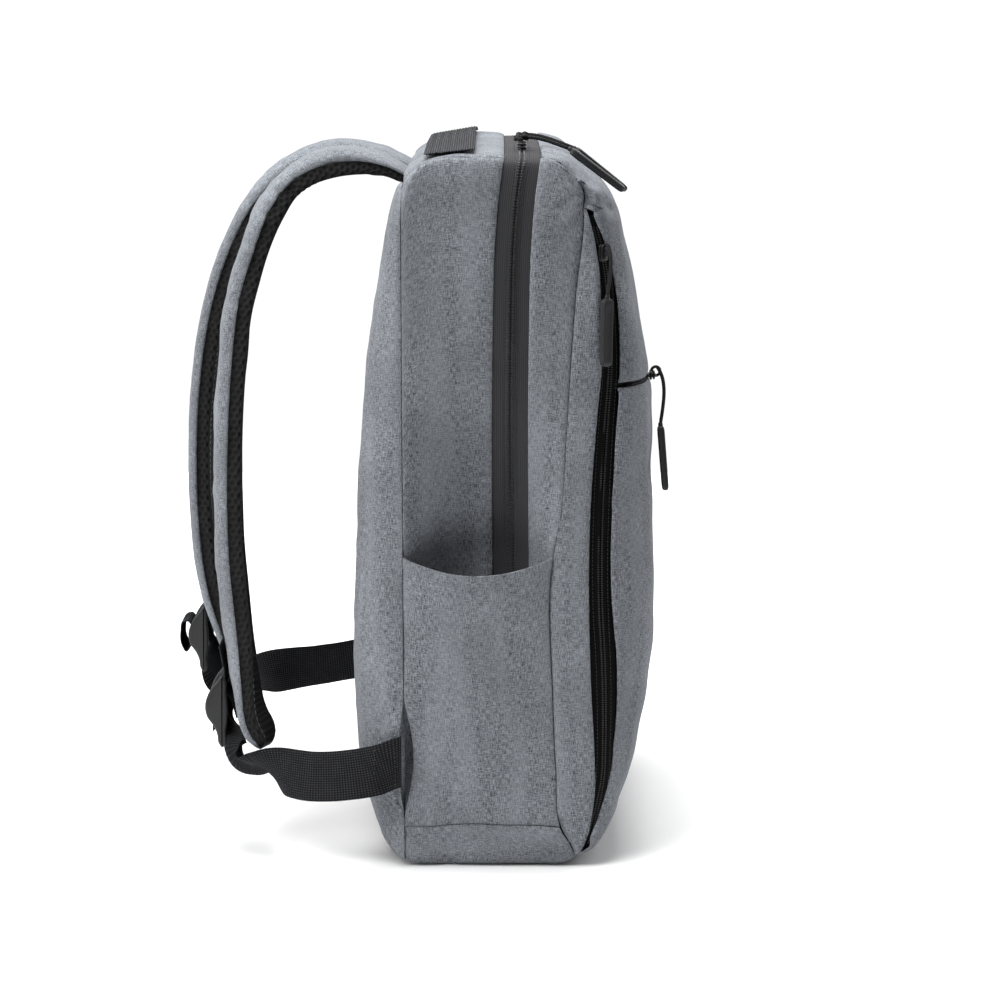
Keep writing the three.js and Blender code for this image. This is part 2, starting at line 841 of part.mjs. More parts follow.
// A short band sewn to the strap's outer face, looped round the buckle's top bar.
function buildAnchor(strap) {
  const centre = buckleCentre(strap);
  const off = fitGap + webbingThickness / 2;
  const [[barY, barZ]] = inBuckle(centre, [topBar]);
  const ring = buckleBarRadius + off;
  const onFace = (share) => {
    const z = barZ + share * anchorReach;
    return [strapFaceAt(z, strap) + off + 2 * fitGap, z];
  };
  const round = [100, 60, 15, -30, -75].map((degrees) => {
    const turn = THREE.MathUtils.degToRad(degrees);
    return [barY + ring * Math.cos(turn), barZ + ring * Math.sin(turn)];
  });
  const above = [1, 0.625, 0.333].map(onFace);
  const below = [-0.375, -0.625, -0.875].map(onFace);
  const route = [...above, ...round, ...below];
  const stops = route.map(([y, z]) => ({
    place: new THREE.Vector3(centre.x, y, z),
    wide: new THREE.Vector3(1, 0, 0),
  }));
  const band = ribbonSection(webbingWidth - 1, webbingThickness);
  add("buckle_anchor" + strap.name, loft(sweep(stops, band)), webbing);
}

// The webbing from the wing to the buckle. Out is the share of the way to the buckle in y, side
// the share of the way in x, drop the share of webbingSag below the wing, and turn the degrees
// by which its width has turned from upright to level.
const webbingRows = table(
  ["out", "side", "drop", "turn"],
  [
    [0, 0, 0, 0],
    [0.16, 0, 0.36, 0],
    [0.3, 0.05, 0.56, 2],
    [0.42, 0.12, 0.69, 6],
    [0.52, 0.2, 0.76, 14],
    [0.62, 0.32, 0.78, 30],
    [0.72, 0.48, 0.78, 52],
    [0.82, 0.66, 0.8, 74],
    [0.91, 0.84, 0.82, 86],
    [0.97, 0.95, 0.55, 90],
  ],
);
// Through the buckle, in its own shares: up behind the low bar, then over the middle bar.
const threadedRoute = [
  [-0.589, -0.533],
  [-0.484, -0.178],
  [-0.211, 0.133],
  [0.021, 0.293],
  [0.316, 0.342],
];
// The loose end hangs down on the left. On the right it is rolled up outside the buckle.
const looseEnds = {
  _left: [
    [0.621, 0.267],
    [0.674, 0.044],
    [0.547, -0.267],
    [0.516, -0.578],
  ],
  _right: [
    [0.684, 0.373],
    [1.053, 0.533],
    [1.421, 0.489],
    [1.558, 0.222],
    [1.516, -0.178],
    [1.211, -0.4],
    [0.926, -0.222],
    [0.979, 0.044],
  ],
};

function buildWebbing(strap) {
  const centre = buckleCentre(strap);
  const overWing = wingStandOff + wingThickness + fitGap + webbingThickness / 2;
  const start = new THREE.Vector3(
    strap.side * (bodyHalfWidth + overWing),
    rearSeam + webbingThickness,
    wingHeight,
  );
  const [[enterY, enterZ]] = inBuckle(centre, threadedRoute);
  const enter = new THREE.Vector3(centre.x, enterY, enterZ);
  const hanging = webbingRows.map((row) => {
    const turn = THREE.MathUtils.degToRad(row.turn);
    return {
      place: new THREE.Vector3(
        start.x + row.side * (enter.x - start.x),
        start.y + row.out * (enter.y - start.y),
        start.z - row.drop * webbingSag,
      ),
      wide: new THREE.Vector3(strap.side * Math.sin(turn), 0, Math.cos(turn)),
    };
  });
  const through = inBuckle(centre, [...threadedRoute, ...looseEnds[strap.name]]);
  const threaded = through.map(([y, z]) => ({
    place: new THREE.Vector3(centre.x, y, z),
    wide: new THREE.Vector3(strap.side, 0, 0),
  }));
  const band = ribbonSection(webbingWidth, webbingThickness);
  add("lower_webbing" + strap.name, loft(sweep([...hanging, ...threaded], band)), webbing);
}

// The triangle of folded cloth in the rear seam that carries the webbing's end, as [back, up]
// from the seam: shares of wingReach and of wingRise. Its root lies in the seam.
const wingOutline = [
  [0.03, -1],
  [1, -0.368],
  [1, 0.316],
  [0.03, 1],
];
const wingRoot = [
  [0.06, -0.842],
  [0.235, -0.763],
  [0.235, 0.763],
  [0.06, 0.842],
];
function buildWing(strap) {
  const inner = bodyHalfWidth + wingStandOff;
  const placed = (outline) =>
    outline.map(([back, up]) => [rearSeam + back * wingReach, wingHeight + up * wingRise]);
  const [deep, low, high] = [inner - wingRootDepth, inner, inner + wingThickness].map(
    (x) => strap.side * x,
  );
  const flap = slab(placed(wingOutline), Math.min(low, high), Math.max(low, high));
  const root = slab(placed(wingRoot), Math.min(low, deep), Math.max(low, deep));
  add("strap_wing" + strap.name, flap.add(root).subtract(bodyWithClearance), cloth);
}

// The handle's line: share of half its span, and lift as a share of handleRise.
const handleRows = table(
  ["along", "lift"],
  [
    [1, 0],
    [0.86, 0],
    [0.68, 0.3],
    [0.46, 0.82],
    [0.22, 1],
    [0, 1.02],
  ],
);

function buildHandle() {
  const half = handleWidth / 2;
  const spread = (row) => row.along * (topSeam - handleFoot);
  const near = handleRows.map((row) => ({ x: -spread(row), lift: row.lift }));
  const far = near.slice(0, -1).toReversed().map(({ x, lift }) => ({ x: -x, lift }));
  const stops = [...near, ...far].map(({ x, lift }) => {
    const rear = topHeightAt(x, handleSetBack + half);
    const fore = topHeightAt(x, handleSetBack - half);
    const middle = Math.max(topHeightAt(x, handleSetBack), (rear + fore) / 2);
    const clear = fitGap + webbingThickness;
    return {
      place: new THREE.Vector3(x, handleSetBack, middle + clear + handleRise * lift),
      wide: new THREE.Vector3(0, 2 * half, handleTilt * (rear - fore)),
    };
  });
  const strip = ribbonSection(handleWidth, webbingThickness);
  add("top_handle", solid(loft(sweep(stops, strip))).subtract(bodyWithClearance), webbing);
}

// A slider on a zip: a low block with tapered ends. Ahead runs along the zip and out from the bag.
const sliderSection = [
  [-0.5, -0.3],
  [-0.3, -0.5],
  [0.3, -0.5],
  [0.5, -0.3],
  [0.5, 0.3],
  [0.3, 0.5],
  [-0.3, 0.5],
  [-0.5, 0.3],
];
function sliderShape({ place, ahead, out }) {
  const across = ahead.clone().cross(out);
  const ring = (lift, share) =>
    sliderSection.map(([a, b]) =>
      place
        .clone()
        .addScaledVector(ahead, a * sliderLength * share)
        .addScaledVector(across, b * sliderWidth * share)
        .addScaledVector(out, lift * sliderHeight),
    );
  return loft([ring(0, 1), ring(0.55, 1), ring(1, 0.62)]);
}

// A pull's tab: a bar with rounded ends, hanging from its top end.
const tabRows = table(
  ["along", "width", "thick"],
  [
    [0, 0.5, 0.55],
    [0.03, 0.82, 0.88],
    [0.09, 1, 1],
    [0.91, 1, 0.92],
    [0.97, 0.8, 0.8],
    [1, 0.5, 0.5],
  ],
);
const tabSection = [
  [-0.5, -0.2],
  [-0.34, -0.5],
  [0.34, -0.5],
  [0.5, -0.2],
  [0.5, 0.2],
  [0.34, 0.5],
  [-0.34, 0.5],
  [-0.5, 0.2],
];
function tabShape({ top, down, out }) {
  const across = down.clone().cross(out).normalize();
  const face = across.clone().cross(down).normalize();
  const rings = tabRows.map((row) =>
    tabSection.map(([a, b]) =>
      top
        .clone()
        .addScaledVector(down, row.along * pullTabLength)
        .addScaledVector(across, a * row.width * pullTabWidth)
        .addScaledVector(face, b * row.thick * pullTabThickness),
    ),
  );
  return loft(rings);
}

// A cord's route from a slider to a tab: share of the way between, and bow off the straight line
// as a share of the widest bow.
const cordRows = table(
  ["along", "bow"],
  [
    [0, 0],
    [0.03, 0.22],
    [0.08, 0.48],
    [0.14, 0.71],
    [0.21, 0.88],
    [0.29, 0.98],
    [0.37, 1],
    [0.45, 0.97],
    [0.53, 0.89],
    [0.61, 0.78],
    [0.69, 0.64],
    [0.77, 0.49],
    [0.85, 0.32],
    [0.93, 0.15],
    [1, 0],
  ],
);
const cordSteps = 7;
const cordBow = 0.1;
const cordEndGap = 1;
function cordShape(from, to, out) {
  const reach = from.distanceTo(to);
  const points = cordRows.map((row) =>
    from.clone().lerp(to, row.along).addScaledVector(out, row.bow * cordBow * reach),
  );
  const section = new THREE.Shape();
  section.absarc(0, 0, pullCordDiameter / 2, 0, 2 * Math.PI);
  return new THREE.ExtrudeGeometry(section, {
    steps: cordSteps,
    curveSegments: 4,
    extrudePath: new THREE.CatmullRomCurve3(points),
  });
}

// A whole pull. The tab's top is placed from the slider, and its direction is the way it hangs.
// The cord starts a little way behind the slider's middle, as seen from the tab, and rises over it.
function addPull(name, { place, ahead, out, tabTop, down, face }) {
  const behind = tabTop.clone().addScaledVector(out, -tabTop.dot(out)).normalize();
  const overSlider = sliderHeight + fitGap + pullCordDiameter / 2;
  const eye = place
    .clone()
    .addScaledVector(out, overSlider - pullCordDip)
    .addScaledVector(behind, -pullCordStart);
  const top = place.clone().add(tabTop);
  const end = top.clone().addScaledVector(down, -cordEndGap);
  add(name + "_slider", sliderShape({ place, ahead, out }), plastic);
  add(name + "_cord", cordShape(eye, end, out), webbing);
  add(name + "_tab", tabShape({ top, down, out: face }), rubber);
}

const vector = (x, y, z) => new THREE.Vector3(x, y, z);

// Across is a share of bodyHalfWidth, and the tab's place from its slider a share of pullReach.
function buildTopPulls() {
  const rows = table(
    ["name", "across", "tabX", "tabY", "tabZ", "downX", "downY", "downZ"],
    [
      ["main_pull_a", 0.66, 0.033, -0.967, -0.033, -0.05, -0.8, -0.6],
      ["main_pull_b", 0.56, 0.067, -1.067, -0.067, 0.08, -0.78, -0.62],
    ],
  );
  for (const row of rows) {
    const x = -row.across * bodyHalfWidth;
    const y = -seamAt(zipLineRows, bagHeight);
    const out = vector(-0.05, -0.08, 1).normalize();
    addPull(row.name, {
      place: vector(x, y, topHeightAt(x, y) - panelThickness / 2 + 2 * fitGap),
      ahead: vector(1, 0, 0.05).normalize(),
      out,
      tabTop: vector(row.tabX, row.tabY, row.tabZ).multiplyScalar(pullReach),
      down: vector(row.downX, row.downY, row.downZ).normalize(),
      face: out,
    });
  }
}

// A point of the front corner's surface and the way out of it, at a height and a place ahead.
function cornerAt(side, y, z) {
  const { width, front, fore, frontWidth } = sectionAt(z);
  const rise = Math.min(1, (-y - front + fore) / fore);
  const flat = Math.sqrt(1 - rise ** 2);
  return {
    point: vector(side * (width - frontWidth + frontWidth * flat), y, z),
    out: vector((side * flat) / frontWidth, -rise / fore, 0).normalize(),
  };
}

function buildSidePulls() {
  const z = stripEdgeRows.at(-1).height * bagHeight - sidePullDrop;
  const y = -(seamAt(stripEdgeRows, z) + seamAt(frontPanelEdgeRows, z)) / 2;
  for (const { name, side } of sides) {
    const seat = cornerAt(side, y, z);
    const off = pullTabThickness / 2 + 2 * fitGap;
    const [high, low] = [z - sideTabDrop, z - sideTabDrop - pullTabLength].map((height) => {
      const { point, out } = cornerAt(side, y - fitGap, height);
      return point.addScaledVector(out, off);
    });
    const place = seat.point.addScaledVector(seat.out, 3 * fitGap - tapeInset);
    addPull("pocket_pull" + name, {
      place,
      ahead: vector(0, 0, 1),
      out: seat.out,
      tabTop: high.clone().sub(place),
      down: low.sub(high).normalize(),
      face: seat.out,
    });
  }
}

function buildFrontPull() {
  const z = frontZipHeight;
  const x = -(bodyHalfWidth - frontCornerWidth);
  addPull("front_pull", {
    place: vector(x, -frontAt(z) - fitGap, z),
    ahead: vector(1, 0, 0),
    out: vector(0, -1, 0),
    tabTop: vector(0, -0.233, -1.033).multiplyScalar(pullReach),
    down: vector(0, -0.085, -1).normalize(),
    face: vector(0, -1, 0),
  });
}

const band = slab(middleBand, -outside, outside);
buildBack();
buildMiddle();
buildFront();
for (const strap of sides) {
  add("side_pocket" + strap.name, solid(loft(pocketRings(strap.side))).intersect(band), cloth);
  buildStrap(strap);
  buildBuckle(strap);
  buildAnchor(strap);
  buildWebbing(strap);
  buildWing(strap);
}
buildHandle();
buildTopPulls();
buildSidePulls();
buildFrontPull();

export default bag;
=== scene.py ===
"""A slim fabric laptop backpack with padded shoulder straps, standing on a pale floor.

Metres in Blender. The shape tables hold shares of sizes in millimetres. +Z is up, -Y is the
front of the bag, +Y the side against the wearer's back, and -X the wearer's left.
"""

import math

import bmesh
import bpy
import numpy as np
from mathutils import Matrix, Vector


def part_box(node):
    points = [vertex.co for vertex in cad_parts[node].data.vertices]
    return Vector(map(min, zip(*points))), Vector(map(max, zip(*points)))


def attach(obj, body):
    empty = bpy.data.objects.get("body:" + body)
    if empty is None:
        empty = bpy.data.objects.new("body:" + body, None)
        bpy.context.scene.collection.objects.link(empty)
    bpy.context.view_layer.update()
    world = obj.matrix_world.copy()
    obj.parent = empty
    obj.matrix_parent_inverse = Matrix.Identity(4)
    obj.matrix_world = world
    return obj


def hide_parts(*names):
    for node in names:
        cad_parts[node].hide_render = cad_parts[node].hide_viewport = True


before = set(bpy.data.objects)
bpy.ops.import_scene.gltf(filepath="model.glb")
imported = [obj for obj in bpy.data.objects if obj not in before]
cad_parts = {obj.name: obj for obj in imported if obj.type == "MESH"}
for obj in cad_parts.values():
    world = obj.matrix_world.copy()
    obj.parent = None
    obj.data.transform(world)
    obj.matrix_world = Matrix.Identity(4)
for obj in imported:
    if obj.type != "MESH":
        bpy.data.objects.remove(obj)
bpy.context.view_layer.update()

bl_info = {
    "name": "Laptop backpack",
    "version": (1, 0, 0),
    "blender": (4, 5, 0),
    "location": "3D View > Sidebar > Backpack",
    "description": "Builds the fabric, straps, zips and fittings of a laptop backpack",
    "category": "Add Mesh",
}

MM = 0.001

# Sizes of the bag, in millimetres
BAG_HEIGHT = 433.0
HALF_WIDTH = 148.0
BACK_REACH = 82.0
FRONT_REACH = 101.0
REAR_SEAM = 50.0
BASE_SEAM = 26.0
TOP_SEAM = 139.0
TOP_FLOOR = 381.0
BACK_PANEL_HALF = 112.0
REAR_CORNER_WIDTH = 42.0
FRONT_CORNER_WIDTH = 55.0
FRONT_CORNER_START = 62.0
SMALLEST_CORNER = 8.0
WIDEST_CORNER_SHARE = 0.7
ZIP_HALF = 10.5
ZIP_TUCK = 4.0
MAIN_ZIP_END = 160.0
FRONT_ZIP_HEIGHT = 293.0
FRONT_ZIP_SLOT = 1.5
TAPE_DEPTH = 2.7
POCKET_RIM = 191.0
POCKET_DIP = 9.0
POCKET_BULGE = 9.0
POCKET_CLOTH = 1.8
HOLLOW_DEPTH = 27.0
TUCK = 2.1
TUCK_FADE = 24.0
STRAP_WIDTH = 62.0
STRAP_PAD = 8.7
STRAP_MESH = 4.0
STRAP_TOP = 421.5
STRAP_REACH = {"left": 112.3, "right": 142.3}
STRAP_TOP_SPREAD = 48.0
STRAP_END_SPREAD = 103.0
STRAP_SPLIT = 6.6
STRAP_BULGE = 2.2
STRAP_CUP = 2.6
STRAP_LEAN = 5.0
WEBBING_WIDTH = 30.0
WEBBING_THICK = 1.4
WEBBING_SAG = 16.0
WING_HEIGHT = 68.0
WING_REACH = 17.0
WING_RISE = 38.0
BUCKLE_HEIGHT = 89.0
BUCKLE_OFF = {"left": 9.7, "right": 11.8}
BUCKLE_HALF = 22.5
BUCKLE_DEPTH = 9.5
BUCKLE_PLATE = 3.5
BUCKLE_BAR = 2.2
ANCHOR_REACH = 24.0
HANDLE_SET_BACK = 22.0
HANDLE_RISE = 3.5
HANDLE_TILT = 0.75
SLIDER = (10.0, 5.6, 4.0)
PULL_TAB = (40.0, 7.5, 4.4)
SIDES = (("left", -1.0), ("right", 1.0))

# Height, back, front and width, as shares of BAG_HEIGHT, BACK_REACH, FRONT_REACH, HALF_WIDTH
BODY_ROWS = (
    (0, 0.56, 0.475, 0.94),
    (0.007, 0.67, 0.545, 0.968),
    (0.018, 0.77, 0.634, 0.983),
    (0.044, 0.835, 0.762, 0.992),
    (0.074, 0.878, 0.832, 0.996),
    (0.132, 0.949, 0.901, 1),
    (0.194, 0.983, 0.939, 1),
    (0.346, 1, 1, 1),
    (0.439, 0.983, 0.99, 1),
    (0.628, 0.92, 0.977, 1),
    (0.702, 0.884, 0.96, 1),
    (0.757, 0.854, 0.911, 1),
    (0.868, 0.748, 0.812, 0.996),
    (0.915, 0.689, 0.757, 0.992),
    (0.935, 0.662, 0.698, 0.988),
    (0.966, 0.58, 0.556, 0.975),
    (0.9805, 0.455, 0.49, 0.957),
    (0.987, 0.32, 0.43, 0.915),
    (0.9915, 0.22, 0.365, 0.73),
    (0.9965, 0.13, 0.25, 0.44),
    (1, 0.04, 0.09, 0.12),
)
# Height as a share of BAG_HEIGHT, ahead as a share of FRONT_REACH
FRONT_SEAM = (
    (0, 0.495), (0.012, 0.515), (0.06, 0.432), (0.139, 0.406), (0.24, 0.388), (0.439, 0.386),
    (0.494, 0.425), (0.605, 0.458), (0.797, 0.51), (0.917, 0.554), (0.947, 0.545),
    (0.97, 0.465), (0.988, 0.307),
)
STRIP_EDGE = (
    (0.009, 0.527), (0.032, 0.579), (0.069, 0.619), (0.106, 0.642), (0.162, 0.637),
    (0.254, 0.614), (0.545, 0.611), (0.635, 0.641), (0.714, 0.67), (0.767, 0.663),
    (0.852, 0.641), (0.889, 0.604), (0.917, 0.569),
)
PANEL_EDGE = (
    (0.009, 0.535), (0.032, 0.589), (0.069, 0.668), (0.106, 0.723), (0.129, 0.752),
    (0.178, 0.771), (0.254, 0.782), (0.3, 0.773), (0.36, 0.746), (0.575, 0.75),
    (0.714, 0.78), (0.78, 0.772), (0.859, 0.712), (0.889, 0.653), (0.917, 0.584),
)
ZIP_LINE = ((0.346, 0.129), (0.716, 0.135), (0.88, 0.153), (0.924, 0.168), (0.986, 0.203))
# Height as a share of POCKET_RIM, and how deep the side wall is pressed in there
HOLLOW_ROWS = ((0.15, 0), (0.45, 0.42), (0.8, 0.86), (1, 1), (1.16, 0.82), (1.36, 0.4), (1.62, 0))
# Height, left and right reach, spread, width and thickness of the shoulder straps
STRAP_ROWS = (
    (0.9715, -0.036, -0.028, 0, 0.97, 0.42),
    (0.987, 0.071, 0.07, 0, 0.98, 0.55),
    (0.999, 0.223, 0.211, 0, 1, 0.85),
    (1, 0.383, 0.358, 0.01, 1, 1),
    (0.988, 0.525, 0.485, 0.02, 1, 1),
    (0.966, 0.65, 0.59, 0.04, 1, 1),
    (0.925, 0.766, 0.703, 0.09, 1, 1),
    (0.866, 0.855, 0.801, 0.16, 1, 1),
    (0.795, 0.933, 0.882, 0.24, 1, 1),
    (0.712, 0.971, 0.942, 0.33, 1, 1),
    (0.622, 0.993, 0.98, 0.42, 1, 1),
    (0.534, 1, 0.998, 0.51, 1, 1),
    (0.427, 0.99, 1, 0.62, 1, 1),
    (0.332, 0.954, 0.98, 0.73, 1, 1),
    (0.247, 0.907, 0.932, 0.85, 0.99, 0.85),
    (0.19, 0.855, 0.882, 0.94, 0.93, 0.72),
    (0.162, 0.802, 0.843, 0.98, 0.78, 0.62),
    (0.15, 0.784, 0.829, 1, 0.55, 0.45),
)
# Place along a strap, depth and slant of its creases, in millimetres
STRAP_CREASES = {
    "left": ((58, 1.0, 5), (84, 1.5, 6), (97, 1.2, 4), (116, 1.4, 7), (133, 1.0, 4), (170, 0.6, 5)),
    "right": ((66, 1.2, 4), (104, 1.9, 5), (122, 1.9, 5), (150, 1.0, 6), (205, 0.6, 4)),
}
# Out, side, drop and turn of the webbing between the wing and the buckle
WEBBING_ROWS = (
    (0, 0, 0, 0), (0.16, 0, 0.36, 0), (0.3, 0.05, 0.56, 2), (0.42, 0.12, 0.69, 6),
    (0.52, 0.2, 0.76, 14), (0.62, 0.32, 0.78, 30), (0.72, 0.48, 0.78, 50),
    (0.82, 0.66, 0.8, 68), (0.91, 0.84, 0.82, 72), (0.97, 0.95, 0.55, 58),
)
# Back and up from the buckle's middle, as shares of BUCKLE_DEPTH and BUCKLE_HALF
THREADED = ((-0.589, -0.533), (-0.484, -0.178), (-0.211, 0.133), (0.021, 0.293), (0.316, 0.342))
LOOSE_END = {
    "left": ((0.621, 0.267), (0.674, 0.044), (0.547, -0.267), (0.516, -0.578)),
    "right": (
        (0.684, 0.373), (1.053, 0.533), (1.421, 0.489), (1.558, 0.222),
        (1.516, -0.178), (1.211, -0.4), (0.926, -0.222), (0.979, 0.044),
    ),
}
BUCKLE_OUTLINE = (
    (-0.158, 1), (0.211, 0.844), (0.737, 0.533), (1, 0.178), (0.895, -0.133),
    (0.474, -0.4), (0.263, -0.622), (0.158, -0.889), (-0.053, -1), (-0.263, -0.933),
    (-0.316, -0.533), (-0.421, -0.267), (-0.453, 0.178), (-0.4, 0.533), (-0.337, 0.889),
)
BUCKLE_BARS = ((-0.126, 0.711), (0.316, 0.178), (0, -0.356))
BUCKLE_LIP = ((-0.158, -0.4), (0.179, -0.4), (0.084, -0.933), (-0.168, -0.933))
# Along and lift of half the handle
HANDLE_ROWS = ((1, 0), (0.86, 0), (0.68, 0.3), (0.46, 0.82), (0.22, 1), (0, 1.02))

# The pull cords' routes from slider to tab, in metres
CORD_ROUTES = {
    "main_pull_a": (
        (-0.09808, -0.01586, 0.43391), (-0.09807, -0.01691, 0.43449),
        (-0.09804, -0.01862, 0.4351), (-0.09799, -0.02065, 0.43556),
        (-0.09792, -0.023, 0.43576), (-0.09782, -0.02565, 0.43569),
        (-0.09771, -0.02828, 0.43535), (-0.09759, -0.0309, 0.43485),
        (-0.09746, -0.03351, 0.43418), (-0.09733, -0.03611, 0.43341),
        (-0.09719, -0.0387, 0.43254), (-0.09705, -0.04129, 0.43164),
        (-0.09691, -0.04387, 0.43067), (-0.09677, -0.04645, 0.4297),
        (-0.09664, -0.04871, 0.42885),
    ),
    "main_pull_b": (
        (-0.08341, -0.01587, 0.43465), (-0.08338, -0.01701, 0.43527),
        (-0.0833, -0.01888, 0.43591), (-0.08319, -0.0211, 0.43638),
        (-0.08305, -0.02366, 0.43657), (-0.08287, -0.02655, 0.43645),
        (-0.08268, -0.02943, 0.43604), (-0.08248, -0.03229, 0.43545),
        (-0.08227, -0.03514, 0.43467), (-0.08205, -0.03797, 0.43379),
        (-0.08183, -0.0408, 0.4328), (-0.0816, -0.04363, 0.43177),
        (-0.08138, -0.04646, 0.43067), (-0.08115, -0.04927, 0.42957),
        (-0.08095, -0.05173, 0.4286),
    ),
    "pocket_pull_left": (
        (-0.14689, -0.06986, 0.37606), (-0.14745, -0.07028, 0.37516),
        (-0.14815, -0.07076, 0.37366), (-0.14879, -0.07119, 0.37186),
        (-0.1493, -0.0715, 0.36976), (-0.14967, -0.07168, 0.36736),
        (-0.14985, -0.07171, 0.36496), (-0.14992, -0.07165, 0.36256),
        (-0.14987, -0.07149, 0.36016), (-0.14974, -0.07127, 0.35776),
        (-0.14955, -0.071, 0.35536), (-0.14933, -0.07071, 0.35296),
        (-0.14907, -0.07038, 0.35056), (-0.1488, -0.07006, 0.34816),
        (-0.14857, -0.06977, 0.34606),
    ),
    "pocket_pull_right": (
        (0.14689, -0.06986, 0.37606), (0.14745, -0.07028, 0.37516),
        (0.14815, -0.07076, 0.37366), (0.14879, -0.07119, 0.37186),
        (0.1493, -0.0715, 0.36976), (0.14967, -0.07168, 0.36736),
        (0.14985, -0.07171, 0.36496), (0.14992, -0.07165, 0.36256),
        (0.14987, -0.07149, 0.36016), (0.14974, -0.07127, 0.35776),
        (0.14955, -0.071, 0.35536), (0.14933, -0.07071, 0.35296),
        (0.14907, -0.07038, 0.35056), (0.1488, -0.07006, 0.34816),
        (0.14857, -0.06977, 0.34606),
    ),
    "front_pull": (
        (-0.093, -0.10215, 0.298), (-0.093, -0.103, 0.29695),
        (-0.093, -0.10404, 0.2952), (-0.093, -0.105, 0.2931),
        (-0.093, -0.10578, 0.29065), (-0.093, -0.10634, 0.28785),
        (-0.093, -0.10662, 0.28505), (-0.093, -0.10672, 0.28225),
        (-0.093, -0.10665, 0.27945), (-0.093, -0.10647, 0.27665),
        (-0.093, -0.10619, 0.27385), (-0.093, -0.10587, 0.27105),
        (-0.093, -0.10549, 0.26826), (-0.093, -0.1051, 0.26546),
        (-0.093, -0.10475, 0.26301),
    ),
}
CORD_DIAMETER = 0.0022

# Each pull's name, the way that its slider runs, and whether its cord is knotted
PULLS = (
    ("main_pull_a", (1, 0, 0), True),
    ("main_pull_b", (1, 0, 0), True),
    ("pocket_pull_left", (0, 0, 1), False),
    ("pocket_pull_right", (0, 0, 1), False),
    ("front_pull", (1, 0, 0), False),
)

# Name, place in metres, watts and size in metres
STUDIO_LIGHTS = (
    ("Key", (-0.9, 0.85, 1.7), 23.5, 1.0),
    ("Rear", (-0.7, 2.6, 1.7), 54.0, 2.4),
    ("Front", (1.9, -1.7, 1.8), 26.0, 1.6),
    ("Top", (0.2, 0.1, 2.6), 92.0, 1.6),
)
ROOM_GREYS = ((0.15, 0.26), (0.86, 1.0))
CAMERA_PLACE = (-1.730, -0.0075, 0.508)
CAMERA_TURN = (79.89, 0.0, -90.0)


# Shape helpers
def smooth(keys, values, at):
    """A smooth curve through rows of values."""
    keys, values, at = (np.asarray(item, float) for item in (keys, values, at))
    slopes = np.gradient(values, keys, axis=0)
    low = np.clip(np.searchsorted(keys, at, side="right") - 1, 0, len(keys) - 2)
    step = keys[low + 1] - keys[low]
    t = np.clip((at - keys[low]) / step, 0, 1)
    if values.ndim > 1:
        step, t = step[..., None], t[..., None]
    start = values[low] * (1 + 2 * t) * (1 - t) ** 2 + slopes[low] * step * t * (1 - t) ** 2
    end = values[low + 1] * t**2 * (3 - 2 * t) - slopes[low + 1] * step * t**2 * (1 - t)
    return start + end


def runs(points):
    """How far each point of a line is from its start."""
    steps = np.linalg.norm(np.diff(points, axis=0), axis=1)
    return np.concatenate([[0.0], np.cumsum(steps)])


def _body_table():
    rows = np.array(BODY_ROWS) * (BAG_HEIGHT, BACK_REACH, FRONT_REACH, HALF_WIDTH)
    keys = runs(rows)
    dense = smooth(keys, rows, np.linspace(0, keys[-1], 4000))
    dense[:, 0] = np.maximum.accumulate(dense[:, 0])
    return dense


BODY = _body_table()


def section(z):
    """Back reach, front reach and half width of the body at a height."""
    return tuple(np.interp(z, BODY[:, 0], BODY[:, k]) for k in (1, 2, 3))


def corners(y, z):
    """The half width at a height, and the reach, depth and width of the corner on y's side."""
    back, front, width = section(z)
    behind = y > 0
    reach = np.where(behind, back, front)
    start = np.where(behind, REAR_SEAM, FRONT_CORNER_START)
    depth = np.minimum(np.maximum(SMALLEST_CORNER, reach - start), WIDEST_CORNER_SHARE * reach)
    widest = np.where(behind, REAR_CORNER_WIDTH, FRONT_CORNER_WIDTH)
    return width, reach, depth, np.minimum(widest, WIDEST_CORNER_SHARE * width)


def inside(points):
    x, y, z = np.moveaxis(points, -1, 0)
    width, reach, depth, wide = corners(y, z)
    past = np.clip((np.abs(x) - width + wide) / wide, 0, None)
    limit = reach - depth + depth * np.sqrt(np.clip(1 - past**2, 0, None))
    return (past <= 1) & (np.abs(y) <= limit) & (z >= 0) & (z <= BAG_HEIGHT)


def leave(origin, way, far=260.0):
    """Where a line that starts inside the body comes out of it."""
    origin, way = np.broadcast_arrays(np.asarray(origin, float), np.asarray(way, float))
    low = np.zeros(origin.shape[:-1])
    high = np.full(origin.shape[:-1], far)
    for _ in range(26):
        middle = (low + high) / 2
        within = inside(origin + way * middle[..., None])
        low = np.where(within, middle, low)
        high = np.where(within, high, middle)
    return origin + way * low[..., None]


def flank(y, z):
    """Half the width of the body at a place seen from the side."""
    width, reach, depth, wide = corners(y, z)
    rise = np.clip((np.abs(y) - reach + depth) / depth, 0, 1)
    return width - wide + wide * np.sqrt(1 - rise**2)


def seam(rows, z):
    rows = np.array(rows) * (BAG_HEIGHT, FRONT_REACH)
    return smooth(rows[:, 0], rows[:, 1], np.clip(z, rows[0, 0], rows[-1, 0]))


def hollow(y, z):
    """How far the side wall lies inside the body's own line."""
    rows = np.array(HOLLOW_ROWS)
    ahead = seam(FRONT_SEAM, z)
    middle, half = (REAR_SEAM - ahead) / 2, (REAR_SEAM + ahead) / 2
    across = np.clip(1 - ((y - middle) / half) ** 2, 0, None) ** 1.3
    share = np.clip(np.asarray(z) / POCKET_RIM, rows[0, 0], rows[-1, 0])
    depth = np.clip(smooth(rows[:, 0], rows[:, 1], share), 0, None)
    above = np.clip((z - POCKET_RIM) / TUCK_FADE, 0, 1)
    return HOLLOW_DEPTH * across * depth + TUCK * (1 - above)


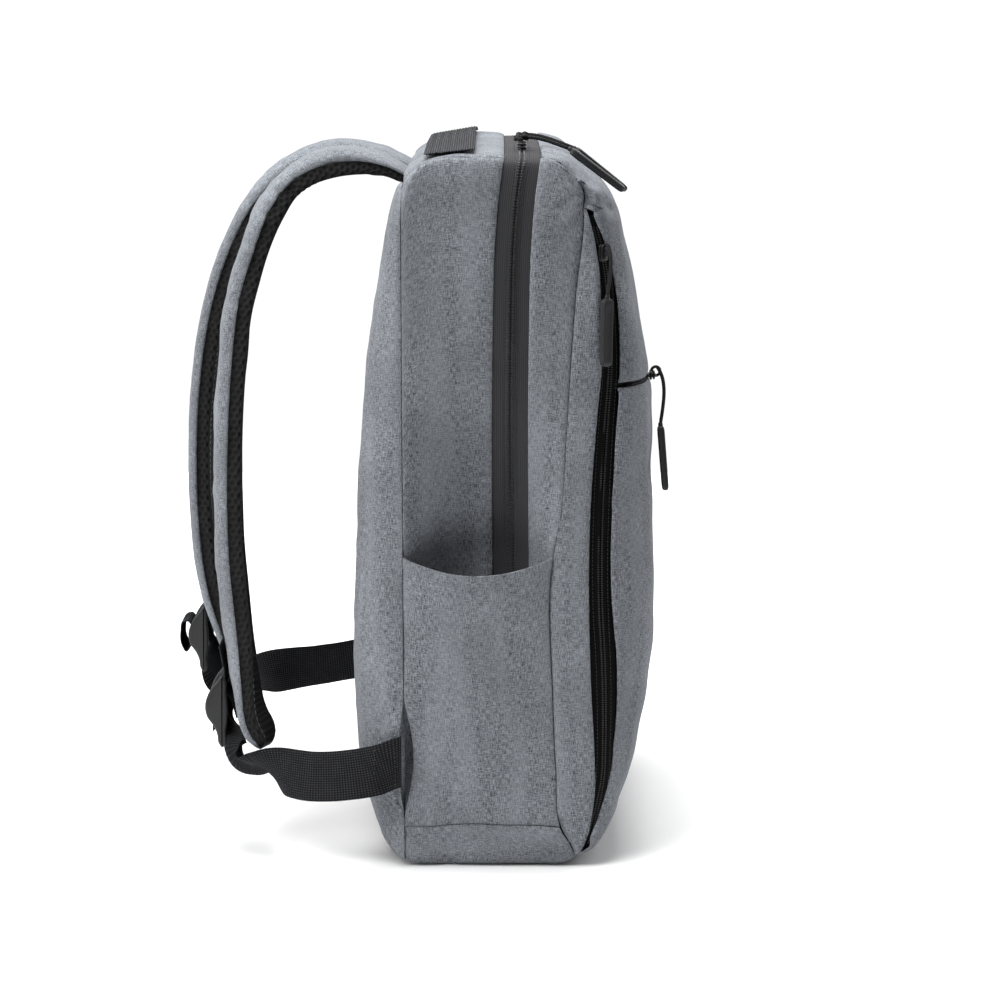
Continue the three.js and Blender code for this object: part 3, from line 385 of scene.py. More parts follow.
def stack(*parts):
    return np.stack(np.broadcast_arrays(*parts), axis=-1)


def follow(curve, shares):
    """Points of a line at shares of its length."""
    run = runs(curve)
    at = np.asarray(shares) * run[-1]
    return np.stack([np.interp(at, run, curve[:, k]) for k in range(3)], axis=1)


def spaced(length, step):
    """Shares of a length, close together near its ends, where cloth rolls into a seam."""
    edge = np.array([0, 0.5, 1.1, 1.9, 3.0, 4.6])
    edge = edge[edge < 0.4 * length]
    count = max(2, round((length - 2 * edge[-1]) / step))
    middle = np.linspace(edge[-1], length - edge[-1], count + 1)[1:-1]
    return np.concatenate([edge, middle, length - edge[::-1]]) / length


def waves(points, size, seed, count=10):
    """Smooth unevenness about as large as one, the same on every run."""
    rng = np.random.default_rng(seed)
    ways = rng.normal(size=(count, 3))
    ways *= 2 * math.pi / size / np.linalg.norm(ways, axis=1, keepdims=True)
    ways *= rng.uniform(0.55, 1.5, (count, 1))
    return np.sin(points @ ways.T + rng.uniform(0, 7, count)).sum(-1) / math.sqrt(count)


def fan(lines, angles, x_from, x_to, shares):
    """Rows across the body, each in a plane through a line along x.

    A line is [y, z]. Its plane points ahead at angle 0, up at 90 and back at 180.
    """
    turn = np.radians(angles)[:, None]
    ease = (1 - np.cos(np.pi * np.linspace(0, 1, 260))) / 2
    x = np.asarray(x_from)[:, None] + (np.asarray(x_to) - x_from)[:, None] * ease
    lines = np.asarray(lines)
    origin = stack(x, lines[:, :1], lines[:, 1:])
    way = stack(np.zeros_like(x), -np.cos(turn), np.sin(turn))
    rows = leave(origin, way)
    return np.stack([follow(row, shares) for row in rows])


def outward(points, centre=(0.0, -5.0, 215.0)):
    """The direction out of a grid of points, away from a centre."""
    normal = np.cross(np.gradient(points, axis=1), np.gradient(points, axis=0))
    normal /= np.maximum(np.linalg.norm(normal, axis=-1, keepdims=True), 1e-9)
    if (normal * (points - centre)).sum() < 0:
        normal = -normal
    return normal


def edge_distances(points):
    """How far each point of a grid is from its first and last column and row."""
    across = np.linalg.norm(np.diff(points, axis=1), axis=-1)
    across = np.concatenate([np.zeros((len(points), 1)), np.cumsum(across, axis=1)], axis=1)
    along = np.linalg.norm(np.diff(points, axis=0), axis=-1)
    along = np.concatenate([np.zeros((1, points.shape[1])), np.cumsum(along, axis=0)], axis=0)
    return across, across[:, -1:] - across, along, along[-1:] - along


def line_distance(points, line):
    """How far points are from a line through a few places."""
    best = np.full(points.shape[:-1], 1e9)
    for start, end in zip(line[:-1], line[1:]):
        start, end = np.array(start, float), np.array(end, float)
        way = end - start
        share = np.clip(((points - start) @ way) / (way @ way), 0, 1)
        best = np.minimum(best, np.linalg.norm(points - start - share[..., None] * way, axis=-1))
    return best


def dress(points, seed, edges="abcd", folds=(), swell=0.8, groove=1.7, faint="", extra=None):
    """Turns a plain grid into sewn cloth: it swells, puckers, and rolls into its seams.

    Edges a and b are the first and last column, c and d the first and last row. Folds are rows
    of (line, width, depth). Seams along faint edges hardly show. Extra is one more distance to
    an edge.
    """
    normal = outward(points)
    chosen = [
        (d, groove * (0.25 if key in faint else 1.0))
        for key, d in zip("abcd", edge_distances(points))
        if key in edges
    ]
    if extra is not None:
        chosen.append((extra, groove))
    lift = swell * waves(points, 95, seed) + 0.35 * swell * waves(points, 33, seed + 1)
    pucker = waves(points, 15, seed + 2)
    for distance, depth in chosen:
        distance = np.clip(distance, 0, None)
        lift = lift - depth * np.exp(-((distance / 1.5) ** 1.15))
        lift = lift + 0.36 * pucker * np.exp(-distance / 7)
        lift = lift * (1 - 0.7 * np.exp(-distance / 9))
        lift = lift - 0.55 * depth * np.exp(-((distance / 1.5) ** 1.15))
    for line, width, depth in folds:
        lift = lift - depth * np.exp(-((line_distance(points, line) / width) ** 2))
    return points + normal * lift[..., None]


# Meshes
def new_object(name, vertices, faces, uv=None, soft=True):
    """An object at the origin from points in millimetres."""
    mesh = bpy.data.meshes.new("made_" + name)
    mesh.from_pydata((np.asarray(vertices, float) * MM).tolist(), [], [tuple(f) for f in faces])
    if uv is not None:
        layer = mesh.uv_layers.new(name="UVMap")
        index = np.zeros(len(mesh.loops), int)
        mesh.loops.foreach_get("vertex_index", index)
        layer.data.foreach_set("uv", (np.asarray(uv)[index] * MM).ravel())
    if soft:
        mesh.polygons.foreach_set("use_smooth", np.ones(len(mesh.polygons), bool))
    mesh.update()
    item = bpy.data.objects.new("made_" + name, mesh)
    bpy.context.scene.collection.objects.link(item)
    return item


def grid_faces(rows, columns, closed=False, keep=None):
    """Quads of a grid of points. Closed joins the last column to the first."""
    faces = []
    for i in range(rows - 1):
        for j in range(columns if closed else columns - 1):
            if keep is None or keep[i, j]:
                k = (j + 1) % columns
                faces.append((i * columns + j, i * columns + k, (i + 1) * columns + k, (i + 1) * columns + j))
    return faces


def facing(points, faces, centre):
    """Turns the faces of a grid outwards."""
    corner = np.asarray(points).reshape(-1, 3)[np.array(faces)]
    normal = np.cross(corner[:, 2] - corner[:, 0], corner[:, 3] - corner[:, 1])
    if (normal * (corner.mean(axis=1) - centre)).sum() < 0:
        return [face[::-1] for face in faces]
    return faces


def add_wall(item, thickness, offset=-1.0):
    wall = item.modifiers.new("Wall", "SOLIDIFY")
    wall.thickness = thickness * MM
    wall.offset = offset
    wall.use_even_offset = False


def cloth_grid(name, points, wall=1.3, keep=None, centre=(0.0, -5.0, 215.0)):
    """A sheet of cloth with a thickness from a grid of points."""
    rows, columns = points.shape[:2]
    faces = facing(points, grid_faces(rows, columns, keep=keep), centre)
    across, _, _, _ = edge_distances(points)
    middle = columns // 2
    along = runs(points[:, middle])
    uv = np.stack(np.broadcast_arrays(across - across[:, middle : middle + 1], along[:, None]), -1)
    item = new_object(name, points.reshape(-1, 3), faces, uv.reshape(-1, 2))
    drop_loose(item)
    add_wall(item, wall)
    return item


def drop_loose(item):
    """Removes points that no face uses."""
    mesh = item.data
    used = np.zeros(len(mesh.vertices), bool)
    index = np.zeros(len(mesh.loops), int)
    mesh.loops.foreach_get("vertex_index", index)
    used[index] = True
    if used.all():
        return
    work = bmesh.new()
    work.from_mesh(mesh)
    bmesh.ops.delete(work, geom=[v for v in work.verts if not v.link_faces], context="VERTS")
    work.to_mesh(mesh)
    work.free()


def tube(rings, closed=False):
    """Points, faces and cloth coordinates of a closed solid through rings of points."""
    rings = np.asarray(rings, float)
    count, around = rings.shape[:2]
    faces = grid_faces(count, around, closed=True)
    corner = rings.reshape(-1, 3)
    if closed:
        faces += [
            ((count - 1) * around + j, (count - 1) * around + (j + 1) % around, (j + 1) % around, j)
            for j in range(around)
        ]
    quads = corner[np.array(faces)] - rings.mean(axis=(0, 1))
    volume = (quads[:, 0] * np.cross(quads[:, 1], quads[:, 2])).sum()
    volume += (quads[:, 0] * np.cross(quads[:, 2], quads[:, 3])).sum()
    if not closed:
        faces += [tuple(range(around))[::-1], tuple(range((count - 1) * around, count * around))]
    if volume < 0:
        faces = [face[::-1] for face in faces]
    girth = np.linalg.norm(np.diff(rings, axis=1), axis=-1).mean(axis=0)
    girth = np.concatenate([[0.0], np.cumsum(girth)])
    along = runs(rings.mean(axis=1))
    uv = np.stack(np.broadcast_arrays(girth[None, :], along[:, None]), -1).reshape(-1, 2)
    return corner, faces, uv


def solid(name, *parts):
    """One object from the points, faces and coordinates of several solids."""
    points, faces, coordinates, count = [], [], [], 0
    for corner, quads, uv in parts:
        points.append(corner)
        coordinates.append(uv)
        faces += [tuple(k + count for k in face) for face in quads]
        count += len(corner)
    return new_object(name, np.concatenate(points), faces, np.concatenate(coordinates))


def sweep(places, wide, sections):
    """Rings of a section along a line. Section points are [across, out]."""
    along = np.gradient(places, axis=0)
    along /= np.linalg.norm(along, axis=1, keepdims=True)
    across = wide - (wide * along).sum(1, keepdims=True) * along
    across /= np.linalg.norm(across, axis=1, keepdims=True)
    out = np.cross(across, along)
    sections = np.broadcast_to(sections, (len(places),) + np.shape(sections)[-2:])
    return (
        places[:, None]
        + across[:, None] * sections[..., :1]
        + out[:, None] * sections[..., 1:]
    )


def even_line(points, step, *more):
    """A smooth line through places at an even step, with other columns carried along."""
    points = np.asarray(points, float)
    keys = runs(points)
    dense = np.linspace(0, keys[-1], max(60, int(keys[-1])))
    run = runs(smooth(keys, points, dense))
    at = np.interp(np.linspace(0, run[-1], max(3, round(run[-1] / step) + 1)), run, dense)
    return [smooth(keys, item, at) for item in (points, *[np.asarray(m, float) for m in more])]


def finish_piece(item, finish, slot, *nodes):
    """Gives a piece its material, hangs it under the root body and hides the parts that it stands for."""
    item.data.materials.clear()
    item.data.materials.append(finish)
    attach(item, "root")
    if nodes:
        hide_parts(*nodes)
    return item


# Materials
class Shade:
    """A socket of a material, so that sums on it read as sums."""

    def __init__(self, finish, socket):
        self.finish = finish
        self.socket = socket

    def _sum(self, operation, first, second):
        return self.finish.node("ShaderNodeMath", {"operation": operation}, {0: first, 1: second})

    def __add__(self, other):
        return self._sum("ADD", self, other)

    def __radd__(self, other):
        return self._sum("ADD", other, self)

    def __sub__(self, other):
        return self._sum("SUBTRACT", self, other)

    def __rsub__(self, other):
        return self._sum("SUBTRACT", other, self)

    def __mul__(self, other):
        return self._sum("MULTIPLY", self, other)

    def __rmul__(self, other):
        return self._sum("MULTIPLY", other, self)

    def __truediv__(self, other):
        return self._sum("DIVIDE", self, other)

    def __pow__(self, other):
        return self._sum("POWER", self, other)


class Finish:
    """A material whose nodes are added one by one."""

    def __init__(self, name, roughness, metallic=0.0, sheen=0.0, specular=0.5):
        self.material = bpy.data.materials.new("finish_" + name)
        self.material.use_nodes = True
        self.tree = self.material.node_tree
        self.shader = self.tree.nodes["Principled BSDF"]
        for key, value in (
            ("Roughness", roughness),
            ("Metallic", metallic),
            ("Sheen Weight", sheen),
            ("Sheen Roughness", 0.5),
            ("Specular IOR Level", specular),
        ):
            self.shader.inputs[key].default_value = value

    def node(self, kind, settings=None, sockets=None, output=0):
        node = self.tree.nodes.new(kind)
        for key, value in (settings or {}).items():
            if key == "stops":
                ramp = node.color_ramp
                for place, grey in value[2:]:
                    ramp.elements.new(place)
                for element, (place, grey) in zip(ramp.elements, sorted(value)):
                    element.position = place
                    element.color = (grey, grey, grey, 1)
            else:
                setattr(node, key, value)
        for key, value in (sockets or {}).items():
            self.link(value, node.inputs[key])
        return Shade(self, node.outputs[output])

    def link(self, value, socket):
        if isinstance(value, Shade):
            self.tree.links.new(value.socket, socket)
        else:
            socket.default_value = value

    def cloth_place(self):
        return self.node("ShaderNodeTexCoord", output=2)

    def object_place(self):
        return self.node("ShaderNodeTexCoord", output=3)

    def scaled(self, place, scale):
        return self.node("ShaderNodeMapping", sockets={0: place, 3: scale})

    def noise(self, place, scale, detail=2.0, roughness=0.5):
        return self.node(
            "ShaderNodeTexNoise", sockets={"Vector": place, "Scale": scale, "Detail": detail, "Roughness": roughness}
        )

    def ramp(self, factor, stops):
        return self.node("ShaderNodeValToRGB", {"stops": stops}, {0: factor})

    def mixed(self, factor, first, second, blend="MIX"):
        settings = {"data_type": "RGBA", "blend_type": blend}
        return self.node("ShaderNodeMix", settings, {0: factor, 6: first, 7: second}, 2)

    def paint(self, colour=None, roughness=None, height=None, depth=0.0002, strength=1.0):
        if colour is not None:
            self.link(colour, self.shader.inputs["Base Color"])
        if roughness is not None:
            self.link(roughness, self.shader.inputs["Roughness"])
        if height is not None:
            sockets = {"Height": height, "Distance": depth, "Strength": strength}
            bump = self.node("ShaderNodeBump", sockets=sockets)
            self.link(bump, self.shader.inputs["Normal"])
        return self.material


def tint(colour, share):
    return tuple(part * share for part in colour[:3]) + (1.0,)


def grey_cloth_finish(colour):
    """Heathered cloth: fine light and dark threads both ways, with a few thicker slubs."""
    finish = Finish("grey_fabric", 0.95, sheen=0.05, specular=0.12)
    place = finish.cloth_place()
    warp = finish.noise(finish.scaled(place, (2300, 270, 1)), 1.0, 1.0, 0.5)
    weft = finish.noise(finish.scaled(place, (270, 2300, 1)), 1.0, 1.0, 0.5)
    speck = finish.noise(place, 2300, 1.0, 0.5)
    streak = finish.noise(finish.scaled(place, (75, 7, 1)), 1.0, 1.0)
    cloudy = finish.noise(place, 16, 3.0, 0.6)
    slub = finish.noise(finish.scaled(place, (1050, 95, 1)), 1.0, 1.0)
    slub_across = finish.noise(finish.scaled(place, (95, 1050, 1)), 1.0, 1.0)
    blend = warp * 0.36 + weft * 0.32 + speck * 0.32
    share = finish.ramp(blend, ((0.39, 0), (0.46, 0.27), (0.53, 0.66), (0.61, 1)))
    base = finish.mixed(share, tint(colour, 0.12), tint(colour, 2.1))
    light = finish.ramp(slub, ((0.6, 0), (0.72, 1)))
    dark = finish.ramp(slub_across, ((0.6, 0), (0.72, 1)))
    base = finish.mixed(finish.ramp(streak, ((0.38, 0), (0.62, 0.34))), base, tint(colour, 1.8))
    base = finish.mixed(light * 0.28, base, tint(colour, 2.1))
    base = finish.mixed(dark * 0.14, base, tint(colour, 0.3))
    base = finish.mixed(finish.ramp(cloudy, ((0.34, 0), (0.64, 0.34))), base, tint(colour, 0.5))
    threads = finish.node(
        "ShaderNodeTexWave",
        {"wave_type": "BANDS", "bands_direction": "DIAGONAL"},
        {"Vector": place, "Scale": 420, "Distortion": 1.2, "Detail": 1.0, "Detail Scale": 2.0},
    )
    height = threads * 0.3 + warp * 0.6 + weft * 0.5 + speck * 0.5
    return finish.paint(base, 0.88 + speck * 0.1, height, 0.0003, 0.8)


def air_mesh_finish(colour):
    finish = Finish("black_mesh", 0.7, specular=0.22)
    place = finish.object_place()
    grain = finish.noise(place, 2100, 2.0, 0.6)
    wide = finish.noise(place, 60, 2.0)
    base = finish.mixed(grain * 0.7 + wide * 0.3, tint(colour, 0.55), tint(colour, 1.7))
    return finish.paint(base, 0.6 + grain * 0.3, grain, 0.00025, 0.8)


def back_mesh_finish(colour):
    """Mesh stretched over the back's pad, its threads in a slanting lattice."""
    finish = Finish("back_mesh", 0.75, specular=0.15)
    place = finish.object_place()
    strands = [
        finish.node(
            "ShaderNodeTexWave",
            {"wave_type": "BANDS", "bands_direction": "DIAGONAL"},
            {"Vector": finish.scaled(place, scale), "Scale": 1.0, "Distortion": 0.3},
        )
        for scale in ((190, 0, 150), (-190, 0, 150))
    ]
    lattice = finish.node("ShaderNodeMath", {"operation": "MAXIMUM"}, {0: strands[0], 1: strands[1]})
    threads = finish.ramp(lattice, ((0.55, 0), (0.9, 1)))
    grain = finish.noise(place, 2100, 2.0, 0.6)
    base = finish.mixed(threads * 0.8 + grain * 0.2, tint(colour, 0.7), tint(colour, 4.0))
    return finish.paint(base, 0.6 + grain * 0.3, threads * 0.8 + grain * 0.2, 0.0005, 0.9)


def webbing_finish(name, colour):
    """A woven band: light dots where the crossing threads come up between the ribs."""
    finish = Finish(name, 0.7, specular=0.1)
    place = finish.cloth_place()
    fibre = finish.noise(finish.scaled(place, (3200, 500, 1)), 1.0, 2.0, 0.6)
    wide = finish.noise(place, 160, 2.0)
    ribs, threads = (
        finish.node(
            "ShaderNodeTexWave",
            {"wave_type": "BANDS", "bands_direction": way},
            {"Vector": place, "Scale": scale, "Distortion": 0.4, "Detail": 1.0, "Detail Scale": 3.0},
        )
        for way, scale in (("X", 200), ("Y", 185))
    )
    dots = finish.ramp(ribs * threads, ((0.25, 0), (0.75, 1)))
    base = finish.mixed(fibre * 0.8 + wide * 0.2, tint(colour, 0.25), tint(colour, 0.9))
    base = finish.mixed(dots * (0.25 + wide * 0.9), base, tint(colour, 5.5))
    return finish.paint(base, 0.55 + fibre * 0.3, fibre * 0.5 + dots * 0.5, 0.0002, 0.8)


def zip_tape_finish(name, colour):
    finish = Finish(name, 0.7, specular=0.04)
    place = finish.cloth_place()
    ribs = finish.node(
        "ShaderNodeTexWave",
        {"wave_type": "BANDS", "bands_direction": "X"},
        {"Vector": place, "Scale": 260, "Distortion": 0.6, "Detail": 1.0},
    )
    grain = finish.noise(place, 1800, 2.0, 0.6)
    base = finish.mixed(ribs * 0.5 + grain * 0.5, tint(colour, 0.7), tint(colour, 1.4))
    return finish.paint(base, 0.45 + grain * 0.25, ribs * 0.7 + grain * 0.5, 0.00014, 0.8)


def plastic_finish(name, colour, roughness, grain_size, depth):
    finish = Finish(name, roughness, specular=0.36)
    place = finish.object_place()
    grain = finish.noise(place, grain_size, 3.0, 0.6)
    smudge = finish.noise(place, 45, 3.0, 0.55)
    base = finish.mixed(smudge, tint(colour, 0.8), tint(colour, 1.25))
    return finish.paint(base, roughness - 0.08 + smudge * 0.18, grain, depth, 0.6)


def metal_finish(colour):
    finish = Finish("black_metal", 0.35, metallic=0.6, specular=0.5)
    place = finish.object_place()
    worn = finish.ramp(finish.noise(place, 420, 3.0, 0.6), ((0.58, 0), (0.8, 1)))
    base = finish.mixed(worn * 0.35, colour, tint(colour, 5))
    return finish.paint(base, 0.34 - worn * 0.1, finish.noise(place, 1500, 2.0), 0.00005, 0.5)


def cord_finish(colour):
    """A braid: two sets of strands that turn round the cord opposite ways."""
    finish = Finish("black_cord", 0.65, specular=0.1)
    place = finish.cloth_place()
    strands = [
        finish.node(
            "ShaderNodeTexWave",
            {"wave_type": "BANDS", "bands_direction": "DIAGONAL"},
            {"Vector": finish.scaled(place, scale), "Scale": 1.0},
        )
        for scale in ((500, 320, 1), (-500, 320, 1))
    ]
    braid = finish.node("ShaderNodeMath", {"operation": "MAXIMUM"}, {0: strands[0], 1: strands[1]})
    base = finish.mixed(braid, tint(colour, 0.5), tint(colour, 1.5))
    return finish.paint(base, 0.5 + braid * 0.15, braid, 0.0003, 0.9)


def floor_finish():
    """A pale sweep that turns to a soft grey on the viewer's side."""
    finish = Finish("floor", 0.7, specular=0.2)
    place = finish.object_place()
    grain = finish.noise(place, 40, 3.0)
    base = finish.mixed(grain, (0.83, 0.83, 0.83, 1), (0.85, 0.85, 0.85, 1))
    along = finish.node("ShaderNodeSeparateXYZ", sockets={0: place})
    near = finish.ramp(0.0 - along, ((0.38, 0), (0.75, 1)))
    base = finish.mixed(near, base, (0.32, 0.32, 0.32, 1))
    return finish.paint(base, 0.7 + grain * 0.05)


def finish_of(name):
    """The material of that name, made from the chosen colours the first time."""
    ready = bpy.data.materials.get("finish_" + name)
    if ready is not None:
        return ready
    colours = bpy.context.scene.backpack_colours
    makers = {
        "grey_fabric": lambda: grey_cloth_finish(tuple(colours.cloth) + (1,)),
        "black_mesh": lambda: air_mesh_finish(tuple(colours.air_mesh) + (1,)),
        "back_mesh": lambda: back_mesh_finish(tuple(colours.air_mesh) + (1,)),
        "black_webbing": lambda: webbing_finish("black_webbing", tuple(colours.webbing) + (1,)),
        # The handle's webbing is the black webbing painted 1.9 times lighter: painted light for the top light that
        # falls on it.
        "handle_webbing": lambda: webbing_finish("handle_webbing", tint(tuple(colours.webbing), 1.9)),
        # All zips have one black tape. The pocket and front zips' tape is painted darker than the other blacks, as
        # painted shade for the shadow of the panels over it; the main zip's tape is painted 11.5 times lighter, as
        # painted light on the top.
        "zip_tape": lambda: zip_tape_finish("zip_tape", tuple(colours.zip_tape) + (1,)),
        "main_zip_tape": lambda: zip_tape_finish("main_zip_tape", tint(tuple(colours.zip_tape), 11.5)),
        "zip_coil": lambda: plastic_finish("zip_coil", tuple(colours.plastic) + (1,), 0.38, 900, 0.00005),
        "black_plastic": lambda: plastic_finish(
            "black_plastic", tuple(colours.plastic) + (1,), 0.42, 1400, 0.00008
        ),
        "pull_rubber": lambda: plastic_finish(
            "pull_rubber", tuple(colours.rubber) + (1,), 0.55, 900, 0.00006
        ),
        "black_metal": lambda: metal_finish(tuple(colours.metal) + (1,)),
        "black_cord": lambda: cord_finish(tuple(colours.cord) + (1,)),
        "grey_thread": lambda: plastic_finish(
            "grey_thread", tint(tuple(colours.cloth), 1.25), 0.7, 2600, 0.0001
        ),
        "black_thread": lambda: plastic_finish(
            "black_thread", tint(tuple(colours.webbing), 1.6), 0.6, 2600, 0.0001
        ),
    }
    return makers[name]()


# Repeated pieces
def repeat_tree():
    """A tree that sets rounded beads along a line: stitches, or the teeth of a zip."""
    name = "Beads along a line"
    if name in bpy.data.node_groups:
        return bpy.data.node_groups[name]
    tree = bpy.data.node_groups.new(name, "GeometryNodeTree")
    face = tree.interface
    face.new_socket("Geometry", in_out="INPUT", socket_type="NodeSocketGeometry")
    for label in ("Pitch", "Length", "Width", "Height"):
        face.new_socket(label, in_out="INPUT", socket_type="NodeSocketFloat")
    face.new_socket("Material", in_out="INPUT", socket_type="NodeSocketMaterial")
    face.new_socket("Geometry", in_out="OUTPUT", socket_type="NodeSocketGeometry")
    nodes, links = tree.nodes, tree.links
    source = nodes.new("NodeGroupInput")
    target = nodes.new("NodeGroupOutput")
    line = nodes.new("GeometryNodeMeshToCurve")
    places = nodes.new("GeometryNodeCurveToPoints")
    places.mode = "LENGTH"
    out = nodes.new("GeometryNodeInputNamedAttribute")
    out.data_type = "FLOAT_VECTOR"
    out.inputs["Name"].default_value = "out"
    turn = nodes.new("FunctionNodeAxesToRotation")
    turn.primary_axis = "X"
    turn.secondary_axis = "Z"
    bead = nodes.new("GeometryNodeMeshUVSphere")
    bead.inputs["Segments"].default_value = 8
    bead.inputs["Rings"].default_value = 5
    bead.inputs["Radius"].default_value = 0.5
    size = nodes.new("ShaderNodeCombineXYZ")
    shape = nodes.new("GeometryNodeTransform")
    copies = nodes.new("GeometryNodeInstanceOnPoints")
    real = nodes.new("GeometryNodeRealizeInstances")
    soft = nodes.new("GeometryNodeSetShadeSmooth")
    dressed = nodes.new("GeometryNodeSetMaterial")
    links.new(source.outputs["Geometry"], line.inputs[0])
    links.new(line.outputs[0], places.inputs["Curve"])
    links.new(source.outputs["Pitch"], places.inputs["Length"])
    links.new(places.outputs["Tangent"], turn.inputs["Primary Axis"])
    links.new(out.outputs["Attribute"], turn.inputs["Secondary Axis"])
    for label, socket in (("Length", "X"), ("Width", "Y"), ("Height", "Z")):
        links.new(source.outputs[label], size.inputs[socket])
    links.new(bead.outputs["Mesh"], shape.inputs["Geometry"])
    links.new(size.outputs[0], shape.inputs["Scale"])
    links.new(places.outputs["Points"], copies.inputs["Points"])
    links.new(shape.outputs["Geometry"], copies.inputs["Instance"])
    links.new(turn.outputs["Rotation"], copies.inputs["Rotation"])
    links.new(copies.outputs["Instances"], real.inputs["Geometry"])
    links.new(real.outputs["Geometry"], soft.inputs["Geometry"])
    links.new(soft.outputs["Geometry"], dressed.inputs["Geometry"])
    links.new(source.outputs["Material"], dressed.inputs["Material"])
    links.new(dressed.outputs["Geometry"], target.inputs["Geometry"])
    return tree


def beads(name, lines, pitch, size, finish, slot, *nodes):
    """Beads along lines of (points, directions out), in millimetres, as one plain mesh."""
    points, edges, outs = [], [], []
    for line, out in lines:
        start = len(points)
        points += list(line)
        outs += list(np.broadcast_to(out, np.shape(line)))
        edges += [(start + i, start + i + 1) for i in range(len(line) - 1)]
    guide = bpy.data.meshes.new(name + "_line")
    guide.from_pydata((np.array(points) * MM).tolist(), edges, [])
    attribute = guide.attributes.new("out", "FLOAT_VECTOR", "POINT")
    attribute.data.foreach_set("vector", np.array(outs, float).ravel())
    carrier = bpy.data.objects.new(name + "_line", guide)
    bpy.context.scene.collection.objects.link(carrier)
    tree = repeat_tree()
    modifier = carrier.modifiers.new("Beads", "NODES")
    modifier.node_group = tree
    values = {"Pitch": pitch, "Length": size[0], "Width": size[1], "Height": size[2]}
    for item in tree.interface.items_tree:
        if item.in_out != "INPUT":
            continue
        if item.name in values:
            modifier[item.identifier] = float(values[item.name] * MM)
        if item.name == "Material":
            modifier[item.identifier] = finish
    graph = bpy.context.evaluated_depsgraph_get()
    mesh = bpy.data.meshes.new_from_object(carrier.evaluated_get(graph))
    carrier.modifiers.clear()
    bpy.data.objects.remove(carrier)
    piece = bpy.data.objects.new(name, mesh)
    bpy.context.scene.collection.objects.link(piece)
    return finish_piece(piece, finish, slot, *nodes)


# The bag's cloth
FRONT_PUCKERS = (
    (((141, -50, 421), (143, -56, 408), (144.5, -60, 397)), 3.8, 3.4),
    (((137, -42, 419), (141, -46, 406), (145, -48, 391)), 4.5, -1.5),
    (((142, -57, 405), (145, -44, 398)), 2.8, 2.4),
    (((142, -56, 412), (143, -44, 415)), 2.4, 1.4),
    (((143, -57, 396), (146, -50, 386)), 3.4, 1.1),
)
LOW_PUCKERS = (
    (((146, -44, 26), (145, -52, 14), (140, -53, 4)), 3.2, 2.6),
    (((146, -44, 30), (146, -56, 22), (143, -60, 14)), 2.8, 2.0),
    (((147, -43, 60), (147, -50, 40)), 4.0, 0.8),
)


def bump(z, middle, half):
    """1 at a height and 0 past half a span either way, smoothly."""
    return np.clip(1 - ((np.asarray(z) - middle) / half) ** 2, 0, None) ** 1.6


def rear_gap(z):
    """How far the rear seam is spread by the wing in it."""
    return bump(z, WING_HEIGHT, WING_RISE)


def base_arch(y):
    """How far the base seam rises above its line, in the middle of a side."""
    return 1.9 * np.clip(1 - ((y - 4) / 46) ** 2, 0, None) - 0.7 + 0.3 * np.sin(y / 6.5)


def top_height(x, y):
    return leave(stack(x, y, TOP_FLOOR), (0, 0, 1.0))[..., 2]


def wall_grid():
    """The left half's side wall, pressed in over the pocket, and the faces that it keeps."""
    low = BASE_SEAM + 0.15 + spaced(134, 2.6) * (MAIN_ZIP_END - BASE_SEAM - 0.15)
    high = spaced(266, 2.6)
    blocks = [spaced(52, 2.6), np.linspace(0, 1, 7), spaced(33, 2.6)]
    place = np.concatenate([blocks[0], 1 + blocks[1][1:], 2 + blocks[2][1:]])
    block = np.minimum(place.astype(int), 2)
    rows = len(low) + len(high) - 1
    y = np.zeros((rows, len(place)))
    z = np.broadcast_to(np.concatenate([low, 160 + high[1:] * 260])[:, None], y.shape).copy()
    for _ in range(5):
        zip_y = -seam(ZIP_LINE, z)
        lines = stack(REAR_SEAM - 0.15 + 0 * z, zip_y + ZIP_HALF, zip_y - ZIP_HALF, 0.15 - seam(FRONT_SEAM, z))
        start = np.take_along_axis(lines, np.broadcast_to(block, y.shape)[..., None], -1)[..., 0]
        end = np.take_along_axis(lines, np.broadcast_to(block + 1, y.shape)[..., None], -1)[..., 0]
        y = start + (place - block) * (end - start)
        top = top_height(TOP_SEAM + 0.15, y)
        z[len(low) :] = MAIN_ZIP_END + high[1:, None] * (top[len(low) :] - MAIN_ZIP_END)
    points = stack(flank(y, z) - hollow(y, z), y, z)
    across = np.abs(y + seam(ZIP_LINE, z)) - ZIP_HALF
    slot = np.hypot(np.clip(across, 0, None), np.clip(MAIN_ZIP_END - z, 0, None))
    keep = np.ones((rows - 1, len(place) - 1), bool)
    keep[len(low) - 1 :, (block[:-1] == 1)[: len(place) - 1]] = False
    return points, slot, keep


def side_walls():
    points, slot, keep = wall_grid()
    points = dress(points, 11, folds=FRONT_PUCKERS, swell=0.9, faint="ad", extra=slot)
    points[..., 0] -= 11.0 * rear_gap(points[..., 2]) * ease(36, 44, points[..., 1])
    for name, side in SIDES:
        placed = points * (side, 1, 1)
        item = cloth_grid("side_panel_" + name, placed, keep=keep, centre=(side * 60, -5, 215))
        finish_piece(item, finish_of("grey_fabric"), "grey_fabric", "side_panel_" + name)


